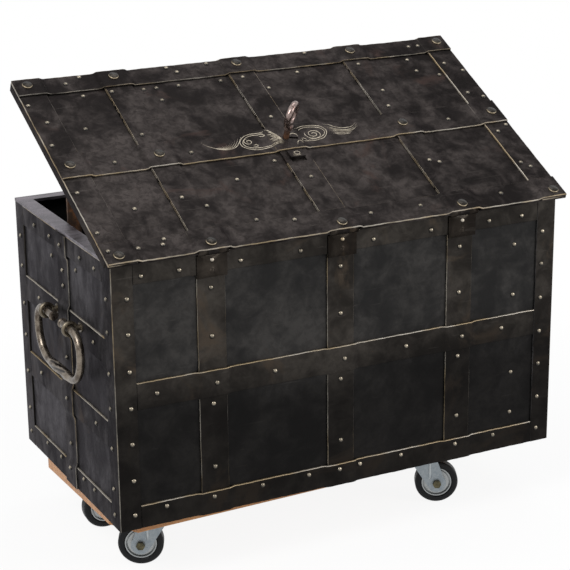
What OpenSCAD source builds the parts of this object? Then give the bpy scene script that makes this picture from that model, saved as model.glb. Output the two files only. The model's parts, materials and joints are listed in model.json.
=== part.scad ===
// An armada chest: riveted sheet iron bound with straps, a flat hinged lid with its lock
// on the underside, two drop handles, and a low board on four casters beneath it.
// X runs along the hinge side, Y runs from the hinge side to the front, Z is up.

/* [Chest body] */
// Length of the body over its straps
body_l = 800; // [700:10:900]
// Depth of the body over its straps
body_d = 430; // [380:10:480]
// Height of the body to the top of its rim
body_h = 438; // [400:2:480]
// Thickness of the wall and floor sheets
sheet_t = 2.5; // [2:0.5:3]
// Thickness of every strap and band
strap_t = 3; // [2:0.5:3.5]
// Width of the flat rim that is turned in round the opening
rim_w = 24; // [18:1:26]
// Thickness of the rim
rim_t = 5; // [4:0.5:6]
// Space under a strap where it is set over another one
lap_gap = 0.3; // [0.2:0.1:0.4]
// Length of the slope where a strap rises over another one
lap_slope = 6; // [4:1:8]
// Radius of the four bolt holes through the floor and the board
deck_hole_r = 6; // [4:0.5:8]
// Distance between the bolt holes along the chest
deck_hole_x = 500; // [485:5:510]
// Distance between the bolt holes across the chest
deck_hole_y = 200; // [185:5:210]

/* [Body straps] */
// Width of each leg of the corner straps
corner_w = 36; // [30:1:38]
// Width of the upright straps and the straps across the lid
strap_w = 48; // [40:1:50]
// Place of the first strap along the chest
strap_x1 = -236; // [-245:1:-225]
// Place of the middle strap along the chest
strap_x2 = -10; // [-15:1:0]
// Place of the third strap along the chest
strap_x3 = 212; // [205:1:220]
// Width of the top band
top_band_w = 33; // [30:1:36]
// Width of the bottom band
foot_band_w = 38; // [34:1:42]
// Width of the band round the middle of the long walls
mid_band_w = 44; // [40:1:48]
// Height of the centre of that band
mid_band_z = 220; // [210:1:230]
// Width of the upright strap on each end
end_strap_w = 46; // [40:1:48]
// How far that strap sits off the middle of the end
end_strap_y = -6; // [-8:1:0]
// Width of the two bands across each end
end_band_w = 44; // [40:1:46]
// Height of the centre of the upper end band, which carries the handle
end_band_z1 = 289; // [284:1:294]
// Height of the centre of the lower end band
end_band_z2 = 153; // [146:1:160]
// Radius of the false keyhole plate on the front
false_plate_r = 54; // [48:1:58]
// Radius of the raised ring on that plate
false_ring_r = 22; // [22:1:30]
// Height of that ring over the plate
false_ring_h = 3; // [2:0.5:4]

/* [Lid] */
// Angle that the lid stands open in the photograph
lid_open = 26.5; // [20:0.5:32]
// Gap between the rim and the closed lid
lid_gap = 1.5; // [1.2:0.1:2]
// Gap between the lid's lip and the straps that stand out furthest
lip_gap = 1.7; // [1.5:0.1:2.5]
// How far the lid reaches past its hinge pin
lid_past_pin = 7; // [6.8:0.2:9]
// Height of the lip under the lid's edge
lip_h = 11.5; // [8:0.5:12]
// Thickness of the lip
lip_t = 3.5; // [3:0.5:4]
// Width of the long band along the front of the lid
lid_front_band_w = 41; // [36:1:44]
// Width of the long band over the hinges
lid_back_band_w = 47; // [44:1:50]
// Width of the long band across the middle of the lid
lid_mid_band_w = 57; // [52:1:60]
// Width of the bands along the lid's two ends
lid_end_band_w = 47; // [42:1:50]
// Radius of the small rivet heads
rivet_r = 4.4; // [3:0.2:5]
// Height of the small rivet heads
rivet_h = 2.6; // [1.5:0.1:3]
// Radius of the large flat heads on the lid
stud_r = 8.6; // [7:0.2:10]
// Height of the large flat heads
stud_h = 2.4; // [1.5:0.1:3]
// Bevel round the large flat heads
stud_bevel = 1; // [0.5:0.1:1.2]

/* [Hinges] */
// Distance of the hinge pin outside the raised top band
pin_out = 4.7; // [4.6:0.1:5.5]
// Radius of the hinge knuckles
knuckle_r = 6.5; // [6:0.25:6.75]
// Radius of the hinge pin
hinge_pin_r = 2.5; // [2:0.25:3]
// Length of a hinge barrel, which has three knuckles
barrel_l = 51; // [45:1:54]
// Gap between two knuckles
knuckle_gap = 0.3; // [0.2:0.1:0.5]
// Height of a hinge leaf on the wall
leaf_h = 36; // [32:1:38]
// Play between a shaft and its hole, on the radius
shaft_play = 0.05; // [0.03:0.01:0.08]
// Gap that keeps two moving pieces apart
clearance = 0.3; // [0.2:0.05:0.4]

/* [Lock] */
// Radius of the key's stem
key_r = 5; // [4:0.25:5.5]
// Reach of the key's bit from the middle of the stem
bit_reach = 20; // [16:1:24]
// Thickness of the key's bit
bit_t = 4; // [3:0.5:5]
// Height of the key's bit
bit_h = 9; // [7:0.5:10]
// Direction of the keyhole's slot
slot_turn = -15; // [-30:1:0]
// Direction that the key is turned to
bit_turn = 44; // [30:1:60]
// Height of the bow's foot above the lid
bow_foot = 24; // [20:1:32]
// Radius of the bow's ring to the middle of its bar
bow_r = 18; // [16:1:24]
// Radius of the bow's bar
bow_bar = 5.5; // [4.5:0.25:6]
// Radius of the collar under the bow
collar_r = 7.5; // [6.5:0.25:9]
// Height of that collar
collar_h = 5; // [3:0.5:7]
// Thickness of the plate that carries the lock
lock_plate_t = 3; // [2:0.5:4]
// Distance of that plate's ends from the rim's opening
lock_plate_in = 66; // [56:1:76]
// Depth of that plate
lock_plate_d = 344; // [336:2:350]
// Radius of the disc that the key turns
cam_r = 38; // [32:1:42]
// Thickness of that disc
cam_t = 2.6; // [2:0.1:3]
// Length of the two lugs on that disc, along the bit
lug_l = 9; // [6:0.5:11]
// Thickness of those lugs
lug_t = 4; // [3:0.5:5]
// Width of the bolts
bolt_w = 24; // [18:1:28]
// Thickness of the bolts
bolt_t = 4; // [3.5:0.5:5.5]
// Gap between the bolts and the rim above them when the lid is shut
bolt_gap = 0.5; // [0.4:0.1:1]
// How far the drawn bolts stay inside the rim's opening
bolt_inset = 4; // [4:0.5:6]
// Distance of the outer bolts from the middle of the lock
bolt_spread = 190; // [170:5:200]
// Width of the yoke that joins a pair of bolts
yoke_w = 10; // [8:1:20]
// Width of the yoke's tail
tail_w = 12; // [8:1:20]
// Distance of the yoke from the staples of its bolts
yoke_gap = 24; // [20:1:34]
// Distance of the tails' staples from the middle of the lock
tail_guide = 82; // [70:1:88]
// Distance of the end bolts' inner staples from the middle of the lock
end_guide = 90; // [80:1:100]
// Wall of the staples that guide the bolts
guide_wall = 4; // [3:0.5:5]
// Width of the staples along the bolts
guide_w = 14; // [10:1:20]
// Width of the sliding keyhole cover
cover_w = 26.4; // [22:0.4:28]
// Length of the cover
cover_l = 41; // [38:0.5:44]
// Thickness of the cover
cover_t = 2.5; // [1.8:0.1:2.6]
// Length of the raised end that the thumb pushes
thumb_l = 17; // [10:0.5:17]
// Height of that end over the rest of the cover
thumb_h = 4; // [3:0.5:6]

/* [Lid stay] */
// Distance of the stay from the left end
stay_in = 40; // [39:0.5:48]
// Place of its pivot across the lid
stay_y = 60; // [50:1:70]
// Width of the stay
stay_w = 22; // [18:1:23]
// Thickness of the stay
stay_t = 5; // [4:0.5:6]
// Length of the stay from its pivot
stay_l = 165; // [150:1:175]
// Depth of the pivot under the lid
stay_drop = 20; // [18:0.5:22]
// Radius of the pivot pin
stay_pin_r = 3; // [2.5:0.25:3.5]
// Thickness of the two ears that hold it
ear_t = 3; // [2.5:0.5:4]
// Radius of the ears round the pin
ear_r = 8; // [7:0.5:9]
// Radius of the peg on the wall that the stay stands beside
peg_r = 5; // [4:0.5:6]
// Height of that peg over the stay's foot
peg_up = 9; // [7:1:14]

/* [Drop handles] */
// Place of a handle's middle across the end
handle_y = -27; // [-32:1:-22]
// Height of the handle's pivot
handle_z = 298; // [294:1:300]
// Distance between the two eyes
eye_gap = 105; // [98:1:112]
// Distance of the pivot from the wall's straps
eye_out = 19; // [18.5:0.5:22]
// Radius of the bar that an eye is bent from
eye_bar = 3.4; // [3:0.2:4]
// Radius of the washer behind an eye
eye_washer_r = 8; // [7:0.25:8]
// Radius of the handle's bar
bail_r = 6.5; // [5.5:0.25:7]
// Radius of the thicker grip
grip_r = 8.5; // [7.5:0.25:9]
// Distance between the middles of the two limbs
bail_w = 192; // [180:2:200]
// Drop from the pivot to the middle of the grip
bail_drop = 85; // [80:1:92]
// Radius of the upper bends
bend_up_r = 30; // [24:1:32]
// Radius of the lower bends
bend_low_r = 50; // [44:1:54]
// Reach of each end past its eye
nub_l = 34; // [28:1:38]

/* [Board and casters] */
// Thickness of the plywood board
board_t = 18; // [15:1:24]
// How far the board's near left corner lies inside the chest's left end
board_in_x = 10.5; // [9.5:0.5:16]
// How far that corner lies inside the hinge side
board_in_y = 22; // [20:1:30]
// How far the board ends inside the chest's right end
board_right = 85.5; // [60:0.5:100]
// How far the board ends inside the chest's front
board_front = 97; // [80:1:104]
// Angle that the board stands askew under the chest
board_turn = 1.8; // [1.2:0.1:2]
// Length that is cut off that corner along the board
board_cut_x = 27; // [20:1:30]
// Length that is cut off that corner across the board
board_cut_y = 52; // [40:1:56]
// Height of a caster from the floor to the board
caster_h = 95; // [92:1:105]
// Radius of a caster's wheel over its tyre
wheel_r = 37.5; // [35:0.5:40]
// Radius of the wheel inside its tyre
hub_r = 26; // [24:0.5:29]
// Width of a tyre
tyre_w = 23; // [20:1:26]
// Radius of a tyre's rounded edge
tyre_round = 4; // [3:0.5:5]
// Radius of the axle
axle_r = 4; // [3.5:0.25:5]
// Distance of the axle behind the swivel pin
trail = 24; // [20:1:30]
// Thickness of the fork's sheet
fork_t = 2.5; // [2:0.25:3]
// Width of a fork leg at its top
fork_w = 47; // [44:1:54]
// Radius of a fork leg's round end
fork_end_r = 16; // [13:0.5:18]
// Gap between the tyre and a fork leg
fork_gap = 3; // [2:0.5:4]
// Radius of the swivel head
swivel_r = 21; // [18:0.5:24]
// Height of the swivel head
swivel_h = 9; // [7:0.5:10]
// Radius of the swivel pin
kingpin_r = 5; // [4:0.25:6]
// Size of a caster's square plate
caster_plate = 64; // [60:1:70]
// Thickness of a caster's plate
caster_plate_t = 3; // [2.5:0.5:4]
// Distance of a caster's screws from its plate's edges
screw_in = 9; // [7.5:0.5:12]
// Radius of those screws
screw_r = 2.9; // [2:0.1:3.5]
// Distance of the left casters from the board's left end
caster_left = 86; // [80:0.5:100]
// Distance of the right casters from the board's right end
caster_right = 110.5; // [80:0.5:120]
// Distance of the near casters from the board's edge on the hinge side
caster_back = 72; // [64:1:78]
// Distance of the other casters from the board's front edge
caster_front = 71; // [56:1:84]

/* [Hidden] */
$fn = 48;

iron = [0.19, 0.18, 0.18];
lid_iron = [0.22, 0.21, 0.19];
bright_iron = [0.62, 0.6, 0.58];
rust = [0.36, 0.24, 0.16];
plywood = [0.76, 0.5, 0.27];
zinc = [0.66, 0.69, 0.7];
rubber = [0.1, 0.1, 0.1];

// The chest stands on the board, and the board on its casters.
base_z = caster_h + board_t;
half_l = body_l / 2;
half_d = body_d / 2;
sheet_x = half_l - strap_t;
sheet_y = half_d - strap_t;
wall_h = body_h - rim_t;
opening_x = half_l - rim_w;
opening_y = half_d - rim_w;
lap_rise = strap_t + lap_gap;
strap_xs = [strap_x1, strap_x2, strap_x3];
wall_xs = [-half_l, strap_x1, strap_x2, strap_x3, half_l];
wall_zs = [0, mid_band_z, wall_h];
end_ys = [-half_d, end_strap_y, half_d];
end_zs = [0, end_band_z2, end_band_z1, wall_h];
false_plate_z = (mid_band_z + mid_band_w / 2 + wall_h - top_band_w) / 2;
strap_laps = [for (x = strap_xs) [x - strap_w / 2 - clearance, x + strap_w / 2 + clearance]];

// The hinge line and the layers of the closed lid, in the chest's own heights.
pin_y = -half_d - lap_rise - pin_out;
lid_bottom = body_h + lid_gap;
lid_top = lid_bottom + sheet_t;
strap_top = lid_top + strap_t;
lap_top = strap_top + lap_gap + strap_t;
pin_z = strap_top - knuckle_r - 0.4;
knuckle_l = (barrel_l - 2 * knuckle_gap) / 3;
knuckle_xs = [-knuckle_l - knuckle_gap, 0, knuckle_l + knuckle_gap];
lid_x = half_l + lap_rise + lip_gap + lip_t;
lid_front = half_d + lap_rise + lip_gap + lip_t;
lid_back = pin_y - lid_past_pin;
lid_front_y = lid_front - lid_front_band_w / 2;
lid_back_y = lid_back + lid_back_band_w / 2;
lid_end_x = lid_x - lid_end_band_w / 2;
barrel_lap = max(strap_w, barrel_l) / 2 + clearance;
end_lap_x = lid_x - lid_end_band_w - clearance;
lid_xs = [-lid_x, strap_x1, strap_x2, strap_x3, lid_x];
lid_ys = [lid_back, 0, lid_front];

// The layers of the lock under the lid.
lock_x = strap_x2;
lock_plate_l = 2 * (opening_x - lock_plate_in);
plate_low = lid_bottom - lock_plate_t;
cam_z = plate_low - clearance - cam_t;
bolt_z = wall_h - bolt_gap - bolt_t;
bit_z = cam_z - 2 * clearance - bit_h;
tip_x = opening_x - bolt_inset;
tip_y = opening_y - bolt_inset;
tail_r = cam_r + 2;
bow_z = lap_top + bow_foot + bow_r + bow_bar;
cover_end = -key_r - 4;
cover_room = 8;
pivot_z = lid_bottom - stay_drop;
stay_x = stay_in - half_l;

// The casters, in heights counted from the chest's foot.
wheel_z = wheel_r - base_z;
plate_z = -board_t - caster_plate_t;
head_z = plate_z - clearance - swivel_h;
leg_y = tyre_w / 2 + fork_gap;

board_x = board_in_x - half_l;
board_y = board_in_y - half_d;
board_l = body_l - board_in_x - board_right;
board_d = body_d - board_in_y - board_front;
caster_x1 = board_x + caster_left;
caster_x2 = board_x + board_l - caster_right;
caster_y1 = board_y + caster_back;
caster_y2 = board_y + board_d - caster_front;

// Each caster: its place, and the direction that its wheel trails in.
casters = [[caster_x1, caster_y1, 154], [caster_x2, caster_y1, -26],
  [caster_x1, caster_y2, 176], [caster_x2, caster_y2, 40]];

// The origin lies on the floor, midway between the open lid's back edge and the front's plate.
back_reach = -pin_y + (pin_y - lid_back) * cos(lid_open) + (lap_top - pin_z) * sin(lid_open);
front_reach = half_d + strap_t + false_ring_h;
origin_y = (back_reach - front_reach) / 2;

// Puts a piece of the chest, drawn from the middle of its own foot, on the board.
module placed() {
  translate([0, origin_y, base_z])
    children();
}

// Puts a piece of the closed lid where the open lid holds it.
module on_lid() {
  placed()
    translate([0, pin_y, pin_z])
      rotate([lid_open, 0, 0])
        translate([0, -pin_y, -pin_z])
          children();
}

// A block given by its two opposite corners.
module block(low, high) {
  translate(low)
    cube(high - low);
}

// How far a band is raised at one place along it.
function rise_at(x, laps) =
  lap_rise * max([0, for (c = laps) min(1, 1 - max(c[0] - x, x - c[1], 0) / lap_slope)]);

// The side view of a band's face that rises over each lap [from, to].
function lap_line(from, to, laps, base) = [for (x = concat([from],
  [for (c = laps, e = [c[0] - lap_slope, c[0], c[1], c[1] + lap_slope]) if (e > from && e < to) e],
  [to])) [x, base + rise_at(x, laps)]];

// A band along X that lies on Z = 0, its width to both sides of Y = 0.
module lap_band(from, to, width, laps) {
  high = lap_line(from, to, laps, strap_t);
  translate([0, width / 2, 0])
    rotate([90, 0, 0])
      linear_extrude(width)
        polygon(concat(lap_line(from, to, laps, 0), [for (i = [len(high) - 1:-1:0]) high[i]]));
}

// A round head that sits on Z = 0: the top of a ball.
module head(r, h) {
  ball_r = (r * r + h * h) / (2 * h);
  intersection() {
    translate([0, 0, h - ball_r])
      sphere(ball_r);
    cylinder(r = r + 1, h = h + 1);
  }
}

// A place between marks: whole numbers are the marks, and 0.25 is a quarter of the way
// from the first to the second.
function between(marks, at) =
  let (i = min(floor(at), len(marks) - 2)) marks[i] + (at - i) * (marks[i + 1] - marks[i]);

// Rivets on a layout, at each place in the list.
module rivets(places) {
  for (p = places)
    translate(p)
      head(rivet_r, rivet_h);
}

// Four ways to stand a flat layout on a wall: its Y becomes the height, and its Z points out.
// X of the layout runs along the wall, the same way for opposite walls.
module on_back(out) {
  placed()
    translate([0, -half_d - out, 0])
      rotate([90, 0, 0])
        children();
}

module on_front(out) {
  placed()
    translate([0, half_d + out, 0])
      rotate([90, 0, 180])
        mirror([1, 0, 0])
          children();
}

module on_left(out) {
  placed()
    translate([-half_l - out, 0, 0])
      rotate([90, 0, -90])
        mirror([1, 0, 0])
          children();
}

module on_right(out) {
  placed()
    translate([half_l + out, 0, 0])
      rotate([90, 0, 90])
        children();
}

module floor_sheet() {
  color(iron)
    placed()
      difference() {
        block([-sheet_x + sheet_t, -sheet_y + sheet_t, 0],
          [sheet_x - sheet_t, sheet_y - sheet_t, sheet_t]);
        deck_holes();
      }
}

// The bolt holes go through the floor and through the board under it.
module deck_holes() {
  for (x = [-1, 1], y = [-1, 1])
    translate([x * deck_hole_x / 2, y * deck_hole_y / 2, -board_t - 1])
      cylinder(r = deck_hole_r, h = board_t + sheet_t + 2);
}

module long_sheet() {
  translate([-sheet_x, 0, -sheet_t])
    cube([2 * sheet_x, wall_h, sheet_t]);
}

module end_sheet() {
  translate([-sheet_y + sheet_t, 0, -sheet_t])
    cube([2 * (sheet_y - sheet_t), wall_h, sheet_t]);
}

module back_sheet() {
  color(iron) on_back(-strap_t) long_sheet();
}

module front_sheet() {
  color(iron) on_front(-strap_t) long_sheet();
}

module left_end_sheet() {
  color(iron) on_left(-strap_t) end_sheet();
}

module right_end_sheet() {
  color(iron) on_right(-strap_t) end_sheet();
}

module rim_frame() {
  color(bright_iron)
    placed()
      difference() {
        block([-half_l, -half_d, wall_h], [half_l, half_d, body_h]);
        block([-opening_x, -opening_y, wall_h - 1], [opening_x, opening_y, body_h + 1]);
      }
}

module corner_straps() {
  inner = corner_w - strap_t;
  color(iron)
    placed()
      for (turn = [0, 1], side = [-1, 1])
        mirror([turn, 0, 0])
          mirror([0, (side + 1) / 2, 0])
            difference() {
              block([half_l - corner_w, half_d - corner_w, 0], [half_l, half_d, wall_h]);
              translate([-strap_t, -strap_t, -1])
                block([half_l - inner - strap_t, half_d - inner - strap_t, 0],
                  [half_l, half_d, wall_h + 2]);
            }
}

module long_wall_straps() {
  for (x = strap_xs)
    translate([x - strap_w / 2, 0, 0])
      cube([strap_w, wall_h, strap_t]);
}

module upright_straps() {
  color(iron) {
    on_back(-strap_t) long_wall_straps();
    on_front(-strap_t) long_wall_straps();
  }
}

// The three bands of a long wall, set over the upright straps.
module long_wall_bands() {
  reach = half_l - corner_w - clearance;
  for (b = [[wall_h - top_band_w / 2, top_band_w], [mid_band_z, mid_band_w],
      [foot_band_w / 2, foot_band_w]])
    translate([0, b[0], 0])
      lap_band(-reach, reach, b[1], strap_laps);
}

module back_bands() {
  color(iron) on_back(-strap_t) long_wall_bands();
}

module front_bands() {
  color(iron) on_front(-strap_t) long_wall_bands();
}

// The bands of an end: the height of each one's middle, and its width.
end_list = [[foot_band_w / 2, foot_band_w], [end_band_z2, end_band_w],
  [end_band_z1, end_band_w], [wall_h - top_band_w / 2, top_band_w]];

module end_wall_bands() {
  reach = half_d - corner_w - clearance;
  for (b = end_list)
    translate([-reach, b[0] - b[1] / 2, 0])
      cube([2 * reach, b[1], strap_t]);
}

module end_bands() {
  color(iron) {
    on_left(-strap_t) end_wall_bands();
    on_right(-strap_t) end_wall_bands();
  }
}

// The upright strap of an end is set over its four bands.
module end_wall_strap() {
  laps = [for (b = end_list) [b[0] - b[1] / 2 - clearance, b[0] + b[1] / 2 + clearance]];
  translate([end_strap_y, 0, 0])
    rotate([0, 0, 90])
      lap_band(0, wall_h, end_strap_w, laps);
}

module end_straps() {
  color(iron) {
    on_left(-strap_t) end_wall_strap();
    on_right(-strap_t) end_wall_strap();
  }
}

// A row of rivets along a long wall, placed between its ends and straps.
module wall_row(marks, z, out) {
  rivets([for (m = marks) [between(wall_xs, m), z, out]]);
}

// The rivets of a long wall. The middle strap has its own, because the front has a plate
// on it.
module long_wall_rivets(middle_marks) {
  corner_x = half_l - 0.7 * corner_w;
  strap_zs = [for (m = [0.355, 0.841, 1.362, 1.732]) between(wall_zs, m)];
  corner_zs = [for (m = [0.109, 0.373, 0.65, 0.918, 1.197, 1.479, 1.746]) between(wall_zs, m)];
  foot_z = 0.74 * foot_band_w;
  wall_row([0.299, 0.683, 1.226, 1.686, 2.27, 2.752, 3.298, 3.638],
    wall_h - 0.64 * top_band_w, strap_t);
  wall_row([0.421, 1.478, 2.55, 3.457], mid_band_z, strap_t);
  wall_row([0.482, 1.367, 1.739, 2.162, 2.514, 3.394], foot_z, strap_t);
  rivets([for (x = strap_xs) [x + 0.12 * strap_w, mid_band_z, lap_rise + strap_t]]);
  rivets([for (x = strap_xs) [x - 0.08 * strap_w, foot_z, lap_rise + strap_t]]);
  rivets([for (x = [strap_x1, strap_x3], z = strap_zs) [x, z, strap_t]]);
  rivets([for (m = middle_marks) [strap_x2, between(wall_zs, m), strap_t]]);
  rivets([for (x = [-corner_x, corner_x], z = corner_zs) [x, z, strap_t]]);
  rivets([for (m = [0.286, 0.618, 1.258, 1.671])
    [between(wall_xs, 3.58), between(wall_zs, m), 0]]);
}

module wall_rivets() {
  color(bright_iron) {
    on_back(-strap_t) long_wall_rivets([0.355, 0.841, 1.362, 1.732]);
    on_front(-strap_t) {
      long_wall_rivets([0.355, 0.841]);
      rivets([for (x = strap_xs) [x, wall_h - 0.36 * top_band_w, lap_rise + strap_t]]);
    }
  }
}

// A row of rivets across an end.
module end_row(marks, z) {
  rivets([for (m = marks) [between(end_ys, m), z, strap_t]]);
}

module end_wall_rivets() {
  top_z = wall_h - 0.6 * top_band_w;
  foot_z = 0.79 * foot_band_w;
  corner_y = half_d - 0.58 * corner_w;
  corner_zs = [for (m = [0.144, 0.431, 0.876, 1.346, 1.765, 2.243, 2.611]) between(end_zs, m)];
  rivets([for (y = [-corner_y, corner_y], z = corner_zs) [y, z, strap_t]]);
  rivets([for (m = [0.477, 1.515, 2.389, 2.569]) [end_strap_y, between(end_zs, m), strap_t]]);
  rivets([for (z = [foot_z, end_band_z2, top_z]) [end_strap_y, z, lap_rise + strap_t]]);
  end_row([0.316, 0.608, 1.249, 1.575], top_z);
  end_row([0.397, 1.548], end_band_z1);
  end_row([0.411, 1.588], end_band_z2);
  end_row([0.512, 0.742, 1.226, 1.529], foot_z);
  rivets([for (p = [[1.253, 2.632], [0.742, 2.667]])
    [between(end_ys, p[0]), between(end_zs, p[1]), 0]]);
}

module end_rivets() {
  color(bright_iron) {
    on_left(-strap_t) end_wall_rivets();
    on_right(-strap_t) end_wall_rivets();
  }
}

// A round plate on the front with the shape of a keyhole, which opens nothing.
module false_keyhole_plate() {
  color(iron)
    on_front(0)
      translate([strap_x2, false_plate_z, 0])
        difference() {
          union() {
            cylinder(r = false_plate_r, h = strap_t);
            cylinder(r = false_ring_r, h = strap_t + false_ring_h);
          }
          translate([0, 0, -1])
            keyhole(strap_t + false_ring_h + 2, -90);
        }
}

// The shape cut for the key: a round hole with a slot for the bit.
module keyhole(h, turn) {
  cylinder(r = key_r + 2 * clearance, h = h);
  rotate([0, 0, turn])
    translate([0, -bit_t / 2 - clearance, 0])
      cube([bit_reach + 1, bit_t + 2 * clearance, h]);
}

// One knuckle about the hinge line, its middle at X = 0.
module knuckle() {
  translate([-knuckle_l / 2, pin_y, pin_z])
    rotate([0, 90, 0])
      cylinder(r = knuckle_r, h = knuckle_l);
}

module pin_bore() {
  translate([-barrel_l, pin_y, pin_z])
    rotate([0, 90, 0])
      cylinder(r = hinge_pin_r + shaft_play, h = 2 * barrel_l);
}

// The wall's half of a hinge: a leaf on the top band and the two outer knuckles.
module wall_leaf() {
  face_y = -half_d - lap_rise;
  leaf_top = pin_z - knuckle_r - 2 * clearance;
  difference() {
    union() {
      block([-barrel_l / 2, face_y - strap_t, leaf_top - leaf_h], [barrel_l / 2, face_y, leaf_top]);
      for (i = [0, 2])
        translate([knuckle_xs[i], 0, 0]) {
          knuckle();
          block([-knuckle_l / 2, face_y - strap_t, leaf_top - 1],
            [knuckle_l / 2, face_y, pin_z - hinge_pin_r - 1]);
        }
    }
    pin_bore();
  }
  for (z = [leaf_top - 9, leaf_top - leaf_h + 10])
    translate([0, face_y - strap_t, z])
      rotate([90, 0, 0])
        head(rivet_r, rivet_h);
}

module hinge_leaves() {
  color(iron)
    placed()
      for (x = strap_xs)
        translate([x, 0, 0])
          wall_leaf();
}

module hinge_pins() {
  color(bright_iron)
    placed()
      for (x = strap_xs)
        translate([x - barrel_l / 2 - 1, pin_y, pin_z])
          rotate([0, 90, 0])
            cylinder(r = hinge_pin_r, h = barrel_l + 2);
}

// An eye that carries one end of a handle: a ring, its shank and a washer.
module eye() {
  ring_r = bail_r + clearance + eye_bar;
  translate([0, 0, eye_out])
    rotate([0, 90, 0])
      rotate_extrude()
        translate([ring_r, 0])
          circle(eye_bar);
  cylinder(r = eye_washer_r, h = 2);
  cylinder(r = eye_bar + 1.6, h = eye_out - ring_r);
}

module end_eyes() {
  for (side = [-1, 1])
    translate([handle_y + side * eye_gap / 2, handle_z, 0])
      eye();
}

module handle_eyes() {
  color(iron) {
    on_left(0) end_eyes();
    on_right(0) end_eyes();
  }
}

// The stay's foot stands beside this peg.
module stay_peg() {
  from_x = -sheet_x + sheet_t;
  foot_z = rest_pivot[1] - stay_l;
  color(iron)
    placed()
      translate([from_x, rest_pivot[0], foot_z + peg_up])
        rotate([0, 90, 0])
          cylinder(r = peg_r, h = stay_x - stay_w / 2 - clearance - from_x);
}

// Where the open lid holds the stay's pivot: its Y and its height over the chest's foot.
rest_pivot = [pin_y + (stay_y - pin_y) * cos(lid_open) - (pivot_z - pin_z) * sin(lid_open),
  pin_z + (stay_y - pin_y) * sin(lid_open) + (pivot_z - pin_z) * cos(lid_open)];

module board() {
  color(plywood)
    placed()
      difference() {
        translate([board_x, board_y, -board_t])
          rotate([0, 0, board_turn])
            linear_extrude(board_t)
              polygon([[board_cut_x, 0], [board_l, 0], [board_l, board_d], [0, board_d],
                [0, board_cut_y]]);
        deck_holes();
      }
}

// Puts a caster's piece, drawn with its wheel trailing along +X, at one of the casters.
module at_caster(i) {
  placed()
    translate([casters[i][0], casters[i][1], 0])
      rotate([0, 0, casters[i][2]])
        children();
}

screw_at = caster_plate / 2 - screw_in;
nut_r = kingpin_r + 3;
nut_h = 5;

module caster_plates() {
  color(zinc)
    placed()
      for (c = casters)
        translate([c[0], c[1], 0]) {
          difference() {
            translate([-caster_plate / 2, -caster_plate / 2, plate_z])
              cube([caster_plate, caster_plate, caster_plate_t]);
            for (x = [-1, 1], y = [-1, 1])
              translate([x * screw_at, y * screw_at, plate_z - 1])
                cylinder(r = screw_r + shaft_play, h = caster_plate_t + 2);
          }
          translate([0, 0, head_z - fork_t - 1])
            cylinder(r = kingpin_r, h = plate_z - head_z + fork_t + 2);
          translate([0, 0, head_z - fork_t - 1 - nut_h])
            cylinder(r = nut_r, h = nut_h, $fn = 6);
        }
}

module caster_screws() {
  color(zinc)
    placed()
      for (c = casters, x = [-1, 1], y = [-1, 1])
        translate([c[0] + x * screw_at, c[1] + y * screw_at, plate_z]) {
          cylinder(r = screw_r, h = caster_plate_t);
          mirror([0, 0, 1])
            head(screw_r + 2, 2.4);
        }
}

// A fork: a round swivel head, a crown under it and two legs that slope back to the axle.
module fork() {
  slant = atan((trail - fork_end_r + fork_w / 2) / (head_z - wheel_z));
  leg = [[-fork_w / 2, head_z], [fork_w / 2, head_z], [trail + fork_end_r, wheel_z],
    [trail - fork_end_r * cos(slant), wheel_z - fork_end_r * sin(slant)]];
  wide = leg_y + fork_t;
  difference() {
    union() {
      translate([0, 0, head_z])
        cylinder(r = swivel_r, h = swivel_h);
      block([-fork_w / 2, -wide, head_z - fork_t], [fork_w / 2, wide, head_z]);
      for (y = [-leg_y, wide])
        translate([0, y, 0])
          rotate([90, 0, 0])
            linear_extrude(fork_t) {
              polygon(leg);
              translate([trail, wheel_z])
                circle(fork_end_r);
            }
    }
    translate([0, 0, head_z - 20])
      cylinder(r = kingpin_r + shaft_play, h = 40);
    translate([trail, 0, wheel_z])
      rotate([90, 0, 0])
        cylinder(r = axle_r + shaft_play, h = 4 * wide, center = true);
  }
}

module axle() {
  wide = leg_y + fork_t;
  translate([trail, 0, wheel_z])
    rotate([90, 0, 0]) {
      cylinder(r = axle_r, h = 2 * wide + 2, center = true);
      for (side = [-1, 1])
        translate([0, 0, side * (wide + nut_h / 2)])
          cylinder(r = axle_r + 3.5, h = nut_h, center = true, $fn = 6);
    }
}

module wheel_hub() {
  half = leg_y - clearance;
  face = tyre_w / 2 - 2;
  boss_r = axle_r + 5;
  groove_r = hub_r - 4.5;
  side = [[boss_r, half], [boss_r + 1, face - 1], [groove_r, face - 2], [groove_r, face - 6],
    [hub_r - 1.8, face - 6], [hub_r - 1.8, face], [hub_r, face]];
  translate([trail, 0, wheel_z])
    rotate([90, 0, 0])
      rotate_extrude()
        polygon(concat([[axle_r + shaft_play, half]], side,
          [for (i = [len(side) - 1:-1:0]) [side[i][0], -side[i][1]]],
          [[axle_r + shaft_play, -half]]));
}

module tyre() {
  half = tyre_w / 2;
  inner = hub_r + shaft_play;
  translate([trail, 0, wheel_z])
    rotate([90, 0, 0])
      rotate_extrude()
        polygon([[inner, 2 - half], [inner + 2, -half], [wheel_r - tyre_round, -half],
          [wheel_r - tyre_round / 3, -half + tyre_round / 3], [wheel_r, -half + tyre_round],
          [wheel_r, half - tyre_round], [wheel_r - tyre_round / 3, half - tyre_round / 3],
          [wheel_r - tyre_round, half], [inner + 2, half], [inner, half - 2]]);
}

// What makes room for a hinge barrel in the lid's near edge.
module barrel_notches(width) {
  for (x = strap_xs)
    block([x - width / 2, lid_back - 1, lid_bottom - 1],
      [x + width / 2, pin_y + knuckle_r + clearance, strap_top + 1]);
}

module at_keyhole(z) {
  translate([lock_x, 0, z])
    children();
}

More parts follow.
